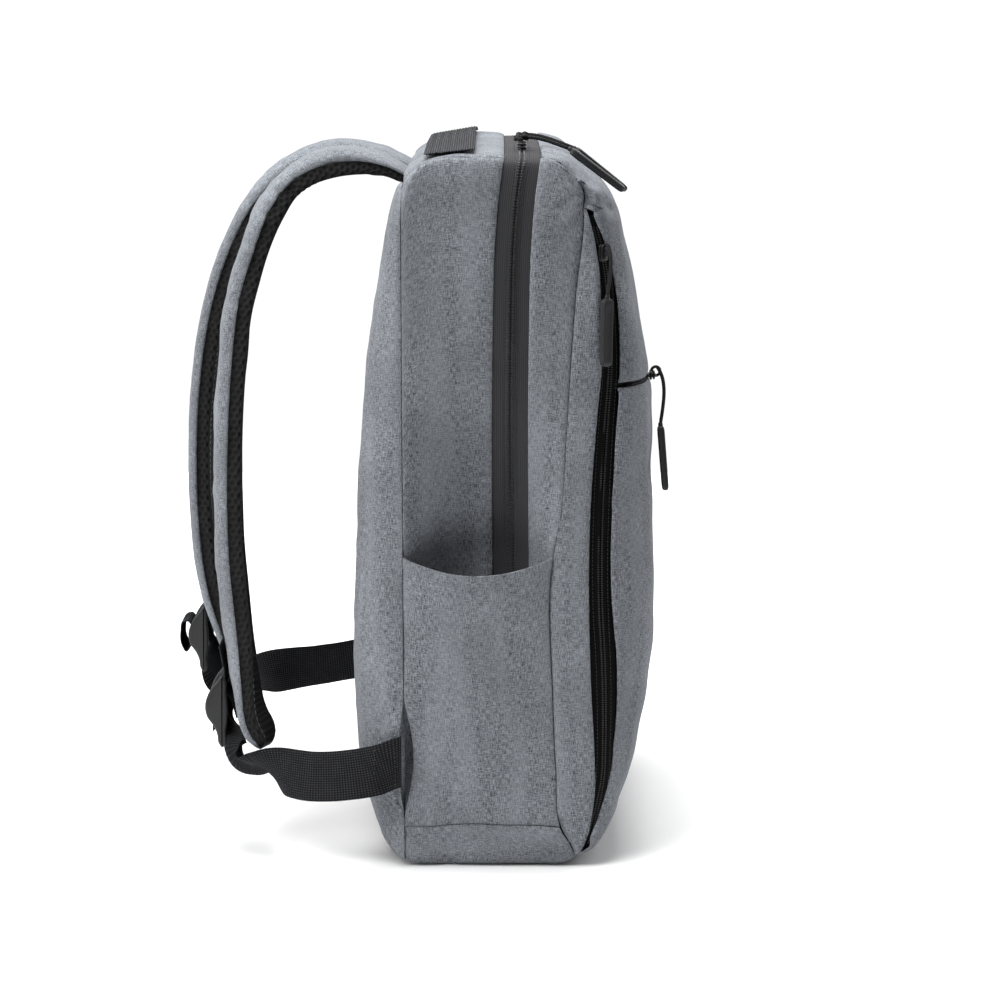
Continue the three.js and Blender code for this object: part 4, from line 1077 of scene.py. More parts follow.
def base_panel():
    columns = spaced(96, 2.6)
    corner = (147.0, -2.0)
    path = np.array(((corner[0], 0, BASE_SEAM), (corner[0], 0, corner[1]), (0, 0, corner[1])))
    path = np.concatenate([path, path[-2::-1] * (-1, 1, 1)])
    target = follow(path, np.linspace(0, 1, 700))
    z = np.full((len(columns), 700), 13.0)
    for _ in range(4):
        y = REAR_SEAM - 0.15 - columns[:, None] * (REAR_SEAM - 0.3 + seam(FRONT_SEAM, z))
        origin = stack(0 * y, y, BASE_SEAM - 0.15 + 0 * y)
        way = stack(target[:, 0], 0 * y, target[:, 2] - BASE_SEAM)
        way = way / np.linalg.norm(way, axis=-1, keepdims=True)
        hit = leave(origin, way)
        z = hit[..., 2]
    shares = spaced(340, 3.0)
    points = np.stack([follow(row, shares) for row in hit])
    raised = base_arch(points[..., 1]) * np.exp(-(((BASE_SEAM - points[..., 2]) / 9) ** 2))
    points[..., 2] += np.where(np.abs(points[..., 0]) > 120, raised, 0)
    folds = [
        ([(side * x, y, z) for x, y, z in line], width, depth)
        for side in (-1, 1)
        for line, width, depth in (
            (((147, 46, 23), (146, 32, 11), (143, 24, 3)), 3.6, 1.9),
            (((147, 34, 24), (146, 18, 12)), 4.5, 1.2),
            (((146, -44, 20), (143, -47, 6)), 3, 1.0),
        )
    ]
    flat = dress(points, 21, folds=folds, swell=0.5, groove=1.5)
    flat[..., 2] = np.where(points[..., 2] < 0.6, np.maximum(points[..., 2], 0.0), flat[..., 2])
    flat[..., 2] = np.maximum(flat[..., 2], 0.0)
    item = cloth_grid("base_panel", flat)
    finish_piece(item, finish_of("grey_fabric"), "grey_fabric", "base_panel")


def gussets():
    z = 2.2 + spaced(409, 3.0) * 408.6
    y = REAR_SEAM + 0.15 + 3.5 * rear_gap(z)
    x_from = np.full(len(z), BACK_PANEL_HALF + 0.3)
    lines = np.stack([y, z], axis=1)
    points = fan(lines, np.full(len(z), 180.0), x_from, flank(y, z), spaced(52, 2.6))
    folds = (
        (((147, 51, 108), (146, 58, 96), (143, 66, 86)), 4, 1.2),
        (((147, 51, 28), (145, 58, 38), (142, 66, 48)), 4, 1.2),
    )
    points = dress(points, 31, folds=folds, swell=1.0, faint="b")
    for name, side in SIDES:
        item = cloth_grid("rear_gusset_" + name, points * (side, 1, 1), centre=(side * 60, -5, 215))
        finish_piece(item, finish_of("grey_fabric"), "grey_fabric", "rear_gusset_" + name)


def top_panel():
    y = np.linspace(REAR_SEAM - 0.15, ZIP_HALF - seam(ZIP_LINE, BAG_HEIGHT), 200)
    profile = stack(0 * y, y, top_height(0 * y, y))
    y = follow(profile, spaced(66, 2.6))[:, 1]
    edge = np.full(len(y), TOP_SEAM - 0.15)
    lines = np.stack([y, top_height(edge, y)], axis=1)
    points = fan(lines, np.full(len(y), 90.0), -edge, edge, spaced(282, 3.0))
    item = cloth_grid("top_panel", dress(points, 41, swell=0.7, groove=1.5, faint="ab"))
    finish_piece(item, finish_of("grey_fabric"), "grey_fabric", "top_panel")


def front_rows(low, high, step):
    """Heights between two heights, evenly spaced along the middle of the front."""
    z = np.linspace(low, high, 500)
    _, front, _ = section(z)
    profile = stack(0 * z, -front, z)
    return follow(profile, spaced(runs(profile)[-1], step))[:, 2]


def front_panels():
    seam_top = FRONT_SEAM[-1][0] * BAG_HEIGHT
    gap_low, gap_high = PANEL_EDGE[0][0] * BAG_HEIGHT, PANEL_EDGE[-1][0] * BAG_HEIGHT
    ahead = lambda z: np.where(
        (z > gap_low) & (z < gap_high), seam(PANEL_EDGE, z), seam(FRONT_SEAM, z) + 0.15
    )
    shares = spaced(300, 3.2)
    z = front_rows(1.5, FRONT_ZIP_HEIGHT - FRONT_ZIP_SLOT, 3.0)
    lines = np.stack([-ahead(z), z], axis=1)
    half = flank(lines[:, 0], z)
    points = fan(lines, np.zeros(len(z)), -half, half, shares)
    folds = [
        ([(side * x, y, z) for x, y, z in line], width, depth)
        for side in (-1, 1)
        for line, width, depth in (
            (((133, -76, 52), (122, -82, 40), (104, -84, 30)), 7, 1.6),
            (((141, -72, 60), (134, -80, 84), (130, -86, 112)), 9, 1.2),
            (((139, -79, 226), (128, -90, 236), (112, -97, 240)), 8, 1.1),
        )
    ]
    low = dress(points, 51, folds=folds, swell=1.1, groove=2.0)
    item = cloth_grid("front_lower_panel", low, wall=1.6)
    finish_piece(item, finish_of("grey_fabric"), "grey_fabric", "front_lower_panel")

    z = front_rows(FRONT_ZIP_HEIGHT + FRONT_ZIP_SLOT, gap_high, 3.0)
    rise = spaced(62, 2.6)[1:]
    high = gap_high + rise * (seam_top - 0.2 - gap_high)
    turn = 90 * rise**0.8
    z, angle = np.concatenate([z, high]), np.concatenate([0 * z, turn])
    lines = np.stack([-ahead(z), z], axis=1)
    half = flank(lines[:, 0], z)
    points = fan(lines, angle, -half, half, shares)
    folds = [
        ([(side * x, y, z) for x, y, z in line], width, depth)
        for side in (-1, 1)
        for line, width, depth in (
            (((143, -58, 402), (138, -66, 398), (128, -74, 396)), 5, 2.2),
            (((143, -57, 405), (137, -60, 412), (126, -64, 418)), 4, 1.8),
            (((142, -71, 372), (136, -76, 360), (128, -82, 352)), 6, 0.9),
        )
    ]
    folds += [
        ([(side * x, y, z) for x, y, z in line], width, depth)
        for side in (-1, 1)
        for line, width, depth in FRONT_PUCKERS[:1]
    ]
    upper = dress(points, 61, folds=folds, swell=1.0, groove=1.8)
    item = cloth_grid("front_upper_panel", upper, wall=1.6)
    finish_piece(item, finish_of("grey_fabric"), "grey_fabric", "front_upper_panel")


def front_strips():
    low, high = STRIP_EDGE[0][0] * BAG_HEIGHT, STRIP_EDGE[-1][0] * BAG_HEIGHT
    z = (low + spaced(high - low, 2.6) * (high - low))[:, None]
    y = -seam(FRONT_SEAM, z) - 0.15
    y = y + spaced(24, 2.0) * (-seam(STRIP_EDGE, z) - y)
    z = z + 0 * y
    points = dress(stack(flank(y, z), y, z), 71, folds=FRONT_PUCKERS + LOW_PUCKERS, swell=0.6)
    for name, side in SIDES:
        item = cloth_grid("front_strip_" + name, points * (side, 1, 1), centre=(side * 60, -5, 215))
        finish_piece(item, finish_of("grey_fabric"), "grey_fabric", "front_strip_" + name)


def side_pockets():
    u = spaced(96, 2.4)
    v = spaced(160, 2.4)[:, None]
    rim = POCKET_RIM - POCKET_DIP * (1 - (2 * u - 1) ** 2)
    z = BASE_SEAM + 0.15 + v * (rim - BASE_SEAM - 0.15)
    rear = REAR_SEAM - 0.15 - 5.0 * rear_gap(z)
    y = rear - u * (rear + seam(FRONT_SEAM, z) - 0.15)
    z = z + base_arch(y) * (1 - v) ** 6
    _, _, width = section(z)
    bulge = POCKET_BULGE * (1 - (2 * u - 1) ** 2) * v**1.5
    flare = -3.4 * rear_gap(z) * np.exp(-u * 96 / 8)
    points = stack(width + bulge + flare, y, z)
    folds = (
        (((151, 30, 120), (150, 38, 92), (149, 43, 60)), 9, 0.8),
        (((150, -36, 60), (149, -40, 34)), 6, 0.7),
        (((149, 40, 34), (149, 24, 30)), 5, 0.7),
    )
    points = dress(points, 81, edges="abc", folds=folds, swell=1.1, groove=1.6, faint="a")
    rim_run = edge_distances(points)[3]
    hem = 0.55 * (1 - 1 / (1 + np.exp(-(rim_run - 6.5) / 0.35)))
    channel = 0.35 * np.exp(-(((rim_run - 6.0) / 0.8) ** 2))
    normal = outward(points)
    points = points + normal * (hem - channel)[..., None]
    stitched = [follow(column, [1 - 6.0 / runs(column)[-1]])[0] for column in points.swapaxes(0, 1)]
    ways = normal[-4]
    for name, side in SIDES:
        item = cloth_grid("side_pocket_" + name, points * (side, 1, 1), 1.5, centre=(side * 60, 0, 100))
        finish_piece(item, finish_of("grey_fabric"), "grey_fabric", "side_pocket_" + name)
        line = (np.array(stitched) + 0.1 * ways)[1:-1] * (side, 1, 1)
        beads(
            "pocket_stitches_" + name, [(line, ways[1:-1] * (side, 1, 1))],
            3.0, (2.3, 0.55, 0.4), finish_of("grey_thread"), "grey_fabric",
        )


# Zips
ZIP_COLUMNS = np.array(
    [0, 0.12, 0.22, 0.3, 0.35, 0.39, 0.42, 0.45, 0.47, 0.485, 0.5, 0.515, 0.53, 0.55, 0.58, 0.61, 0.65, 0.7, 0.78, 0.88, 1]
)


def zip_path(offsets, step):
    """Rows along the main zip from the left end over the top to the right, columns across it."""
    start, bend = MAIN_ZIP_END - ZIP_TUCK, 330.0
    rise = np.linspace(start, bend, 300)
    turn = np.linspace(0, np.pi, 900)
    grids = []
    for offset in offsets:
        z = rise
        y = -seam(ZIP_LINE, z) + offset
        side = stack(flank(y, z) - hollow(y, z), y, z)
        z = np.full(len(turn), bend)
        for _ in range(4):
            y = -seam(ZIP_LINE, z) + offset
            origin = stack(0 * y, y, bend + 0 * y)
            hit = leave(origin, stack(np.cos(turn), 0 * y, np.sin(turn)))
            z = hit[:, 2]
        grids.append(np.concatenate([side[:-1], hit, (side * (-1, 1, 1))[-2::-1]]))
    length = runs(grids[len(grids) // 2])[-1]
    shares = np.linspace(0, 1, round(length / step) + 1)
    return np.stack([follow(line, shares) for line in grids], axis=1)[::-1]


def zip_of(name, points, depth, coil, tape_finish, *nodes):
    """A tape under an opening, with its coil behind it. Points lie on the body's own surface.

    Coil is the pitch, width and height of the ribs that the coil pushes up.
    """
    normal = outward(points)
    left, right, _, _ = edge_distances(points)
    off = np.abs(left - right) / 2
    sag = depth + 0.03 * off + 0.15 * waves(points, 24, 7)
    sag = sag + 0.7 * np.exp(-((off / 0.45) ** 2)) - 0.45 * np.exp(-(((off - 1.7) / 1.3) ** 4))
    tape_points = points - normal * sag[..., None]
    tape = cloth_grid(name, tape_points, 0.8)
    finish_piece(tape, finish_of(tape_finish), "zip_tape", *nodes)
    middle = points.shape[1] // 2
    shares = np.linspace(0, 1, round(runs(points[:, middle])[-1] / 2.0))
    line, above = follow(points[:, middle], shares), follow((points + normal)[:, middle], shares)
    out = (above - line) / np.linalg.norm(above - line, axis=1, keepdims=True)
    coil_step, wide, high = coil
    line = (line - out * (depth - 0.28))[4:-4]
    out = out[4:-4]
    ribs, seams = [], []
    ahead = np.gradient(line, axis=0)
    ahead /= np.linalg.norm(ahead, axis=1, keepdims=True)
    across = np.cross(out, ahead)
    for side, shift in ((-1, 0.0), (1, coil_step / 2)):
        ribs.append((line + across * side * (0.4 + wide / 2) + ahead * shift, out))
        seams.append((line + across * side * 4.6 - out * 0.32, out))
    size = (0.7 * coil_step, wide, high)
    beads(name + "_coil", ribs, coil_step, size, finish_of("zip_coil"), "zip_tape")
    beads(name + "_stitches", seams, 2.4, (1.9, 0.45, 0.3), finish_of("black_thread"), "zip_tape")
    return tape


def main_zip():
    half = ZIP_HALF + ZIP_TUCK
    points = zip_path(half - 2 * half * ZIP_COLUMNS, 3.0)
    # The main zip's tape is painted lighter than the other zips' tape, as painted light on the top.
    zip_of("main_zip", points, 1.9, (1.7, 2.2, 0.45), "main_zip_tape", "main_zip")


def pocket_zips():
    low, high = (STRIP_EDGE[k][0] * BAG_HEIGHT for k in (0, -1))
    z = np.linspace(low + ZIP_TUCK, high - ZIP_TUCK, 130)[:, None]
    rear = -seam(STRIP_EDGE, z) + ZIP_TUCK - 0.4
    ahead = -seam(PANEL_EDGE, z) - ZIP_TUCK
    y = rear + ZIP_COLUMNS * (ahead - rear)
    z = z + 0 * y
    points = stack(flank(y, z), y, z)
    for name, side in SIDES:
        placed = points * (side, 1, 1)
        # This tape is painted very dark, as painted shade under the front panel's edge.
        zip_of("pocket_zip_" + name, placed, TAPE_DEPTH + 0.2, (1.4, 1.3, 0.35), "zip_tape", "pocket_zip_" + name)


def front_zip():
    reach = FRONT_ZIP_SLOT + ZIP_TUCK
    z = FRONT_ZIP_HEIGHT + reach * (2 * ZIP_COLUMNS - 1)
    start = float(seam(PANEL_EDGE, FRONT_ZIP_HEIGHT)) + ZIP_TUCK + 0.6
    lines = np.stack([np.full(len(z), -start), z], axis=1)
    half = flank(lines[:, 0], z)
    points = fan(lines, np.zeros(len(z)), -half, half, np.linspace(0, 1, 110)).swapaxes(0, 1)
    # This tape is painted very dark, as painted shade in the slot between the panels.
    zip_of("front_zip", points, TAPE_DEPTH, (1.4, 1.3, 0.35), "zip_tape", "front_zip")


# Shoulder straps
def strap_line(name, side, step):
    rows = np.array(STRAP_ROWS)
    reach = rows[:, 1 if name == "left" else 2] * STRAP_REACH[name]
    spread = STRAP_TOP_SPREAD + rows[:, 3] * (STRAP_END_SPREAD - STRAP_TOP_SPREAD)
    places = stack(side * spread, REAR_SEAM + reach, rows[:, 0] * STRAP_TOP)
    return even_line(places, step, rows[:, 4], rows[:, 5])


def strap_face(name, z):
    """The y of a strap's outer face in its lower part."""
    rows = np.array(STRAP_ROWS)[:10:-1]
    share = np.interp(z / STRAP_TOP, rows[:, 0], rows[:, 1 if name == "left" else 2])
    thick = np.interp(z / STRAP_TOP, rows[:, 0], rows[:, 5])
    return REAR_SEAM + share * STRAP_REACH[name] + thick * (STRAP_MESH + STRAP_PAD) / 2


def cells(u, v, size):
    """0 in the middle of a six-sided cell of a mesh, about 1 on its edge."""
    tall = size * math.sqrt(3)
    first = np.hypot(np.mod(u, size) - size / 2, np.mod(v, tall) - tall / 2)
    second = np.hypot(np.mod(u + size / 2, size) - size / 2, np.mod(v + tall / 2, tall) - tall / 2)
    return np.minimum(first, second) / (size / 2)


def ease(low, high, value):
    t = np.clip((value - low) / (high - low), 0, 1)
    return t * t * (3 - 2 * t)


def strap_rings(name, side, step, ring):
    """Rings of a section along a strap, with a soft tip, a slight turn and cupped edges.

    Section points are shares of the half width and millimetres out of the strap's middle.
    """
    half = STRAP_WIDTH / 2
    places, width, thick = strap_line(name, side, step)
    along = runs(places)
    left = along[-1] - along
    tip = np.sqrt(np.clip(1 - np.clip(1 - left / 13, 0, 1) ** 2, 0.02, 1))
    thick = np.maximum(thick, 0.78 * ease(0, 25, along)) * tip
    cup = STRAP_CUP * ease(10, 60, along) * (0.4 + 0.6 * ease(10, 60, left))
    x = ring[..., 0] * half
    out = ring[..., 1] * thick[:, None] - cup[:, None] * np.abs(ring[..., 0]) ** 2.5
    sections = np.stack([x * width[:, None], out], axis=-1)
    lean = math.sin(math.radians(STRAP_LEAN)) * ease(40, 130, along) * ease(0, 80, left)
    wide = stack(1 + 0 * lean, -side * lean, side * lean * 0.6)
    return places, along, sweep(places, wide, sections)


def shoulder_strap(name, side):
    out = (STRAP_MESH + STRAP_PAD) / 2
    split = STRAP_SPLIT - out

    turn = np.linspace(0, np.pi, 43)
    over = np.stack([np.sign(np.cos(turn)) * np.abs(np.cos(turn)) ** 0.36, np.sin(turn) ** 0.6], axis=1)
    under = np.stack([np.linspace(-0.95, 0.95, 21), np.full(21, -0.04)], axis=1)
    ring = np.concatenate([over, under])
    ring[:, 1] = split + ring[:, 1] * (out - split)
    places, along, rings = strap_rings(name, side, 1.8, ring)
    away = rings - rings.mean(axis=1, keepdims=True)
    away /= np.linalg.norm(away, axis=-1, keepdims=True)
    lift = 0.5 * waves(rings, 42, 91) + 0.3 * waves(rings, 16, 92)
    rim = 0.25 + 0.75 * np.abs(ring[:, 0]) ** 3
    for place, depth, slope in STRAP_CREASES[name]:
        slant = place + slope * ring[:, 0]
        lift = lift - depth * rim * np.exp(-(((along[:, None] - slant) / 3.0) ** 2))
        lift = lift + 0.45 * depth * rim * np.exp(-(((along[:, None] - slant - 6.5) / 4.0) ** 2))
    near_edge = np.exp(-(((1 - np.abs(ring[:, 0])) / 0.09) ** 2))
    lift = lift + 0.1 * near_edge * waves(rings, 14, 94)
    lift = lift * (ease(0, 12, along) * ease(0, 10, along[-1] - along))[:, None]
    rings = rings + away * np.minimum(lift, 1.3)[..., None]
    pad = solid("shoulder_strap_" + name, tube(rings))
    finish_piece(pad, finish_of("grey_fabric"), "grey_fabric", "shoulder_strap_" + name)

    low = -out - STRAP_BULGE
    turn = np.linspace(0, np.pi / 2, 12)[:-1]
    corner = 3.2
    side_wall = np.array([(0.955 + 0.03 * t, split + 0.2 - t * (split - low - corner)) for t in np.linspace(0, 1, 8)])
    curve = np.stack([0.985 - 0.06 * (1 - np.cos(turn)), low + corner * (1 - np.sin(turn))], axis=1)
    edge = np.concatenate([side_wall[:-1], curve])
    face = np.stack([np.linspace(0.925, -0.925, 60), np.full(60, low)], axis=1)
    ring = np.concatenate([edge, face, edge[::-1] * (-1, 1)])
    places, along, rings = strap_rings(name, side, 0.95, ring)
    count = len(edge)
    wrap = runs(ring * (STRAP_WIDTH / 2, 1))
    dents = 1 - ease(0.45, 0.95, cells(wrap[None, :], along[:, None], 4.3))
    face_edge = (0.925 - np.abs(ring[:, 0])) * STRAP_WIDTH / 2
    flat = np.zeros(len(ring), bool)
    flat[count - 3 : -count + 3] = True
    binding = np.where(flat, 1 - ease(3.4, 4.2, face_edge), 0)
    sunk = 1.05 * dents * (1 - binding) - 0.5 * binding
    sunk[:, :2] = sunk[:, -2:] = 0
    sunk = sunk + 0.4 * waves(rings, 45, 93)
    sunk = sunk * (ease(0, 8, along) * ease(0, 6, along[-1] - along))[:, None]
    normal = np.cross(np.gradient(rings, axis=1), np.gradient(rings, axis=0))
    normal /= np.linalg.norm(normal, axis=-1, keepdims=True)
    if (normal * (rings - rings.mean(axis=1, keepdims=True))).sum() < 0:
        normal = -normal
    lining = solid("strap_mesh_" + name, tube(rings - normal * sunk[..., None]))
    finish_piece(lining, finish_of("black_mesh"), "black_mesh", "strap_mesh_" + name)

    inner = np.argmin(np.abs(ring[:, 0] - 0.86) + 10 * (ring[:, 1] > low + 0.1))
    lines = []
    for column in (inner, len(ring) - 1 - inner):
        lines.append(((rings + normal * 0.55)[6:-6:3, column], normal[6:-6:3, column]))
    beads(
        "strap_stitches_" + name, lines, 4.0, (2.6, 0.6, 0.45),
        finish_of("grey_thread"), "black_mesh",
    )


# Webbing
def woven(places, wide, width, thickness, weave=(1.5, 1.35), columns=61, relief=0.2, square_end=False):
    """A woven band along a line: ribs lengthwise, and the crossing threads between them."""
    across = np.linspace(-width / 2, width / 2, columns)
    along = runs(places)[:, None]
    rib = np.cos(2 * np.pi * across / weave[0])
    odd = np.mod(np.floor(across / weave[0] + 0.5), 2)
    cross = np.cos(2 * np.pi * along / weave[1] + np.pi * odd)
    height = thickness / 2 * (1 - (np.abs(across) / (width / 2)) ** 14 * 0.75)
    face = height + relief * (0.6 * rib + 0.4 * cross - 0.7)
    upper = stack(across[::-1] + 0 * along, face[:, ::-1])
    lower = stack(across + 0 * along, -face)
    rings = sweep(places, wide, np.concatenate([lower, upper], axis=1))
    if square_end:
        way = (places[3] - places[0]) / np.linalg.norm(places[3] - places[0])
        shift = (rings - places[:, None])[..., 1:2] / way[1]
        rings = rings - way * shift * (1 - ease(0, 16, along))[..., None]
    return tube(rings)


def buckle_middle(name, side):
    spread = STRAP_TOP_SPREAD + 0.9 * (STRAP_END_SPREAD - STRAP_TOP_SPREAD)
    y = strap_face(name, BUCKLE_HEIGHT) + BUCKLE_OFF[name]
    return np.array((side * spread, y, BUCKLE_HEIGHT))


def in_buckle(middle, rows):
    rows = np.array(rows)
    y = middle[1] + rows[:, 0] * BUCKLE_DEPTH
    return stack(middle[0] + 0 * y, y, middle[2] + rows[:, 1] * BUCKLE_HALF)


def lower_webbing(name, side):
    middle = buckle_middle(name, side)
    start = np.array((side * (HALF_WIDTH + 4.9), REAR_SEAM + WEBBING_THICK, WING_HEIGHT))
    threaded = in_buckle(middle, THREADED + LOOSE_END[name])
    way = threaded[0] - start
    out, across, drop, turn = np.array(WEBBING_ROWS).T
    hanging = start + stack(across * way[0], out * way[1], -drop * WEBBING_SAG)
    turn = np.radians(turn)
    wide = np.concatenate([
        stack(side * np.sin(turn), -np.cos(turn), np.cos(turn)),
        [(side, -0.45, 0)],
        np.broadcast_to((side, 0.0, 0.0), (len(threaded) - 1, 3)),
    ])
    places, wide = even_line(np.concatenate([hanging, threaded]), 0.5, wide)
    band = solid("lower_webbing_" + name, woven(places, wide, WEBBING_WIDTH, WEBBING_THICK, relief=0.3, square_end=True))
    finish_piece(band, finish_of("black_webbing"), "black_webbing", "lower_webbing_" + name)

    end = places[:36:2] + 0.0
    lines = []
    for share in (-0.42, 0.42):
        lines.append(end[4:] + (0, 0, share * WEBBING_WIDTH))
    for row in (4, -1):
        low, high = (end[row] + (0, 0, share * WEBBING_WIDTH) for share in (-0.42, 0.42))
        lines.append(np.linspace(low, high, 12))
    out = np.array((side, 0.0, 0.0))
    lines = [(line + out * (WEBBING_THICK / 2 + 0.05), out) for line in lines]
    beads(
        "webbing_stitches_" + name, lines, 2.6, (2.0, 0.6, 0.45),
        finish_of("black_thread"), "black_webbing",
    )


def buckle_anchor(name, side):
    middle = buckle_middle(name, side)
    bar = in_buckle(middle, BUCKLE_BARS[:1])[0]
    off = 0.3 + WEBBING_THICK / 2
    ring = BUCKLE_BAR + off

    def on_face(share):
        z = bar[2] + share * ANCHOR_REACH
        return (middle[0], strap_face(name, z) + off + 0.6, z)

    turn = np.radians((100, 60, 15, -30, -75))
    loop = stack(middle[0] + 0 * turn, bar[1] + ring * np.cos(turn), bar[2] + ring * np.sin(turn))
    route = [on_face(s) for s in (1, 0.625, 0.333)] + list(loop) + [on_face(s) for s in (-0.375, -0.625, -0.875)]
    places, wide = even_line(route, 0.6, np.broadcast_to((1.0, 0, 0), (len(route), 3)))
    band = solid("buckle_anchor_" + name, woven(places, wide, WEBBING_WIDTH - 1, WEBBING_THICK))
    finish_piece(band, finish_of("black_webbing"), "black_webbing", "buckle_anchor_" + name)
    top = np.array([on_face(s) for s in (0.94, 0.5)])
    lines = []
    for z in (0, 1):
        x = np.linspace(-12.5, 12.5, 12)
        line = stack(middle[0] + x, top[z, 1] + WEBBING_THICK / 2 + 0.1, top[z, 2])
        lines.append((line, np.array((0, 1.0, 0))))
    beads(
        "anchor_stitches_" + name, lines, 2.6, (2.0, 0.6, 0.45),
        finish_of("black_thread"), "black_webbing",
    )


def strap_wing(name, side):
    """A triangle of folded cloth that comes out of the rear seam."""
    v = np.linspace(-1, 1, 61)
    reach = np.interp(v, (-1, -0.55, -0.36, 0, 0.3, 0.42, 1), (0.02, 0.42, 0.9, 1, 0.9, 0.24, 0.02))[:, None]
    u = np.linspace(0, 1, 22)
    y = REAR_SEAM - 0.5 + u * reach * (WING_REACH + 0.5)
    z = WING_HEIGHT + v[:, None] * WING_RISE * (1 - 0.06 * u)
    rise = ease(-0.05, 0.5, u * np.maximum(reach, 0.3))
    x = HALF_WIDTH - 9.0 + 11.4 * rise + 0.25 * waves(stack(0 * y, y, z), 20, 101)
    points = stack(x, y, z) * (side, 1, 1)
    item = cloth_grid("strap_wing_" + name, points, 1.8, centre=(side * 100, 50, WING_HEIGHT))
    finish_piece(item, finish_of("grey_fabric"), "grey_fabric", "strap_wing_" + name)


def top_handle():
    half = WEBBING_WIDTH / 2
    rows = np.array(HANDLE_ROWS)
    along, lift = np.concatenate([rows, rows[-2::-1] * (-1, 1)]).T
    x = -along * (TOP_SEAM - 5)
    y = np.full(len(x), HANDLE_SET_BACK)
    rear, fore = top_height(x, y + half), top_height(x, y - half)
    z = np.maximum(top_height(x, y), (rear + fore) / 2) + 0.3 + WEBBING_THICK + HANDLE_RISE * lift
    wide = stack(0 * x, 2 * half, HANDLE_TILT * (rear - fore))
    places, wide = even_line(stack(x, y, z), 1.1, wide)
    band = solid("top_handle", woven(places, wide, WEBBING_WIDTH, WEBBING_THICK, (1.9, 3.4), 95, relief=0.38))
    # Its webbing is painted lighter than the other webbing, as painted light on its top.
    finish_piece(band, finish_of("handle_webbing"), "black_webbing", "top_handle")


# Buckles, sliders and pulls
def rounded(outline, step=1.0):
    """A closed outline through its corners, smoothly."""
    outline = np.array(list(outline) + [outline[0]], float)
    wrapped = np.concatenate([outline[-3:-1], outline, outline[1:3]])
    keys = runs(wrapped)
    at = np.linspace(keys[2], keys[-3], round((keys[-3] - keys[2]) / step) + 1)[:-1]
    return smooth(keys, wrapped, at)


def plate(outline, low, high, edge=0.7):
    """A plate in the side view between two values of x, with rounded edges."""
    ahead = np.roll(outline, -1, axis=0) - np.roll(outline, 1, axis=0)
    ahead /= np.linalg.norm(ahead, axis=1, keepdims=True)
    normal = stack(ahead[:, 1], -ahead[:, 0])
    middle = outline.mean(axis=0)
    if (normal * (outline - middle)).sum() < 0:
        normal = -normal
    rings = [
        (low + edge * (1 - math.cos(turn)), outline - normal * edge * (1 - math.sin(turn)))
        for turn in np.linspace(0, math.pi / 2, 5)
    ]
    rings += [(low + high - x, ring) for x, ring in rings[::-1]]
    return tube([stack(x + 0 * ring[:, 0], ring[:, 0], ring[:, 1]) for x, ring in rings])


def rod(start, end, radius, around=18):
    """A straight round bar with softened ends."""
    start, end = np.array(start, float), np.array(end, float)
    way = (end - start) / np.linalg.norm(end - start)
    side = np.cross(way, (0.31, 0.2, 0.93))
    side /= np.linalg.norm(side)
    other = np.cross(way, side)
    turn = np.linspace(0, 2 * np.pi, around + 1)[:-1]
    circle = side * np.cos(turn)[:, None] + other * np.sin(turn)[:, None]
    soft = 0.25 * radius
    stops = ((0, 0.8), (soft, 1), (-soft, 1), (0, 0.8))
    places = [start + way * s if k < 2 else end + way * s for k, (s, _) in enumerate(stops)]
    return tube([place + circle * radius * share for place, (_, share) in zip(places, stops)])


def buckle(name, side):
    middle = buckle_middle(name, side)
    inner = WEBBING_WIDTH / 2 + 0.6
    place = lambda rows: in_buckle(middle, rows)[:, 1:]
    sides = rounded(place(BUCKLE_OUTLINE), 0.9)
    x = middle[0]
    parts = [
        plate(sides, x - inner - BUCKLE_PLATE, x - inner, 1.6),
        plate(sides, x + inner, x + inner + BUCKLE_PLATE, 1.6),
    ]
    for bar in in_buckle(middle, BUCKLE_BARS):
        start, end = bar - (inner + 1, 0, 0), bar + (inner + 1, 0, 0)
        parts.append(rod(start, end, BUCKLE_BAR))
    lip = place(BUCKLE_LIP)
    lip = np.concatenate([np.linspace(a, b, 6)[:-1] for a, b in zip(lip, np.roll(lip, -1, axis=0))])
    parts.append(plate(lip, x - inner - 1, x + inner + 1, 0.5))
    grips = []
    for share in (-0.52, -0.64, -0.76):
        place_z = middle[2] + share * BUCKLE_HALF
        y = middle[1] + 1.35
        grips.append(rod((x - inner, y, place_z), (x + inner, y, place_z), 0.55, 10))
    item = solid("buckle_" + name, *parts, *grips)
    finish_piece(item, finish_of("black_plastic"), "black_plastic", "buckle_" + name)


def cord_tube(route, radius, around=14):
    """A round tube along a route in metres, as a solid in millimetres."""
    places = even_line(np.array(route) / MM, 0.6)[0]
    wide = np.cross(np.gradient(places, axis=0), (0.9, 0.1, 0.35))
    turn = np.linspace(0, 2 * np.pi, around + 1)[:-1]
    circle = np.stack([np.cos(turn), np.sin(turn)], axis=1) * radius
    rings = sweep(places, wide, circle)
    centre = places[:, None]
    share = np.ones(len(places))
    share[[0, -1]] = 0.6
    share[[1, -2]] = 0.9
    return tube(centre + (rings - centre) * share[:, None, None])


def knot_tube(place, ahead, out, size):
    """A small overhand knot of the cord's own thickness."""
    t = np.linspace(0, 2 * np.pi, 61)[:-1]
    across = np.cross(ahead, out)
    x = np.sin(t) + 2 * np.sin(2 * t)
    y = np.cos(t) - 2 * np.cos(2 * t)
    z = -np.sin(3 * t)
    path = place + size * (x[:, None] * ahead + y[:, None] * across + 0.85 * z[:, None] * out)
    along = np.roll(path, -1, axis=0) - np.roll(path, 1, axis=0)
    along /= np.linalg.norm(along, axis=1, keepdims=True)
    side = np.cross(along, out)
    side /= np.linalg.norm(side, axis=1, keepdims=True)
    other = np.cross(along, side)
    turn = np.linspace(0, 2 * np.pi, 13)[:-1, None]
    rings = path[:, None] + 1.05 * (side[:, None] * np.cos(turn) + other[:, None] * np.sin(turn))
    return tube(rings, closed=True)


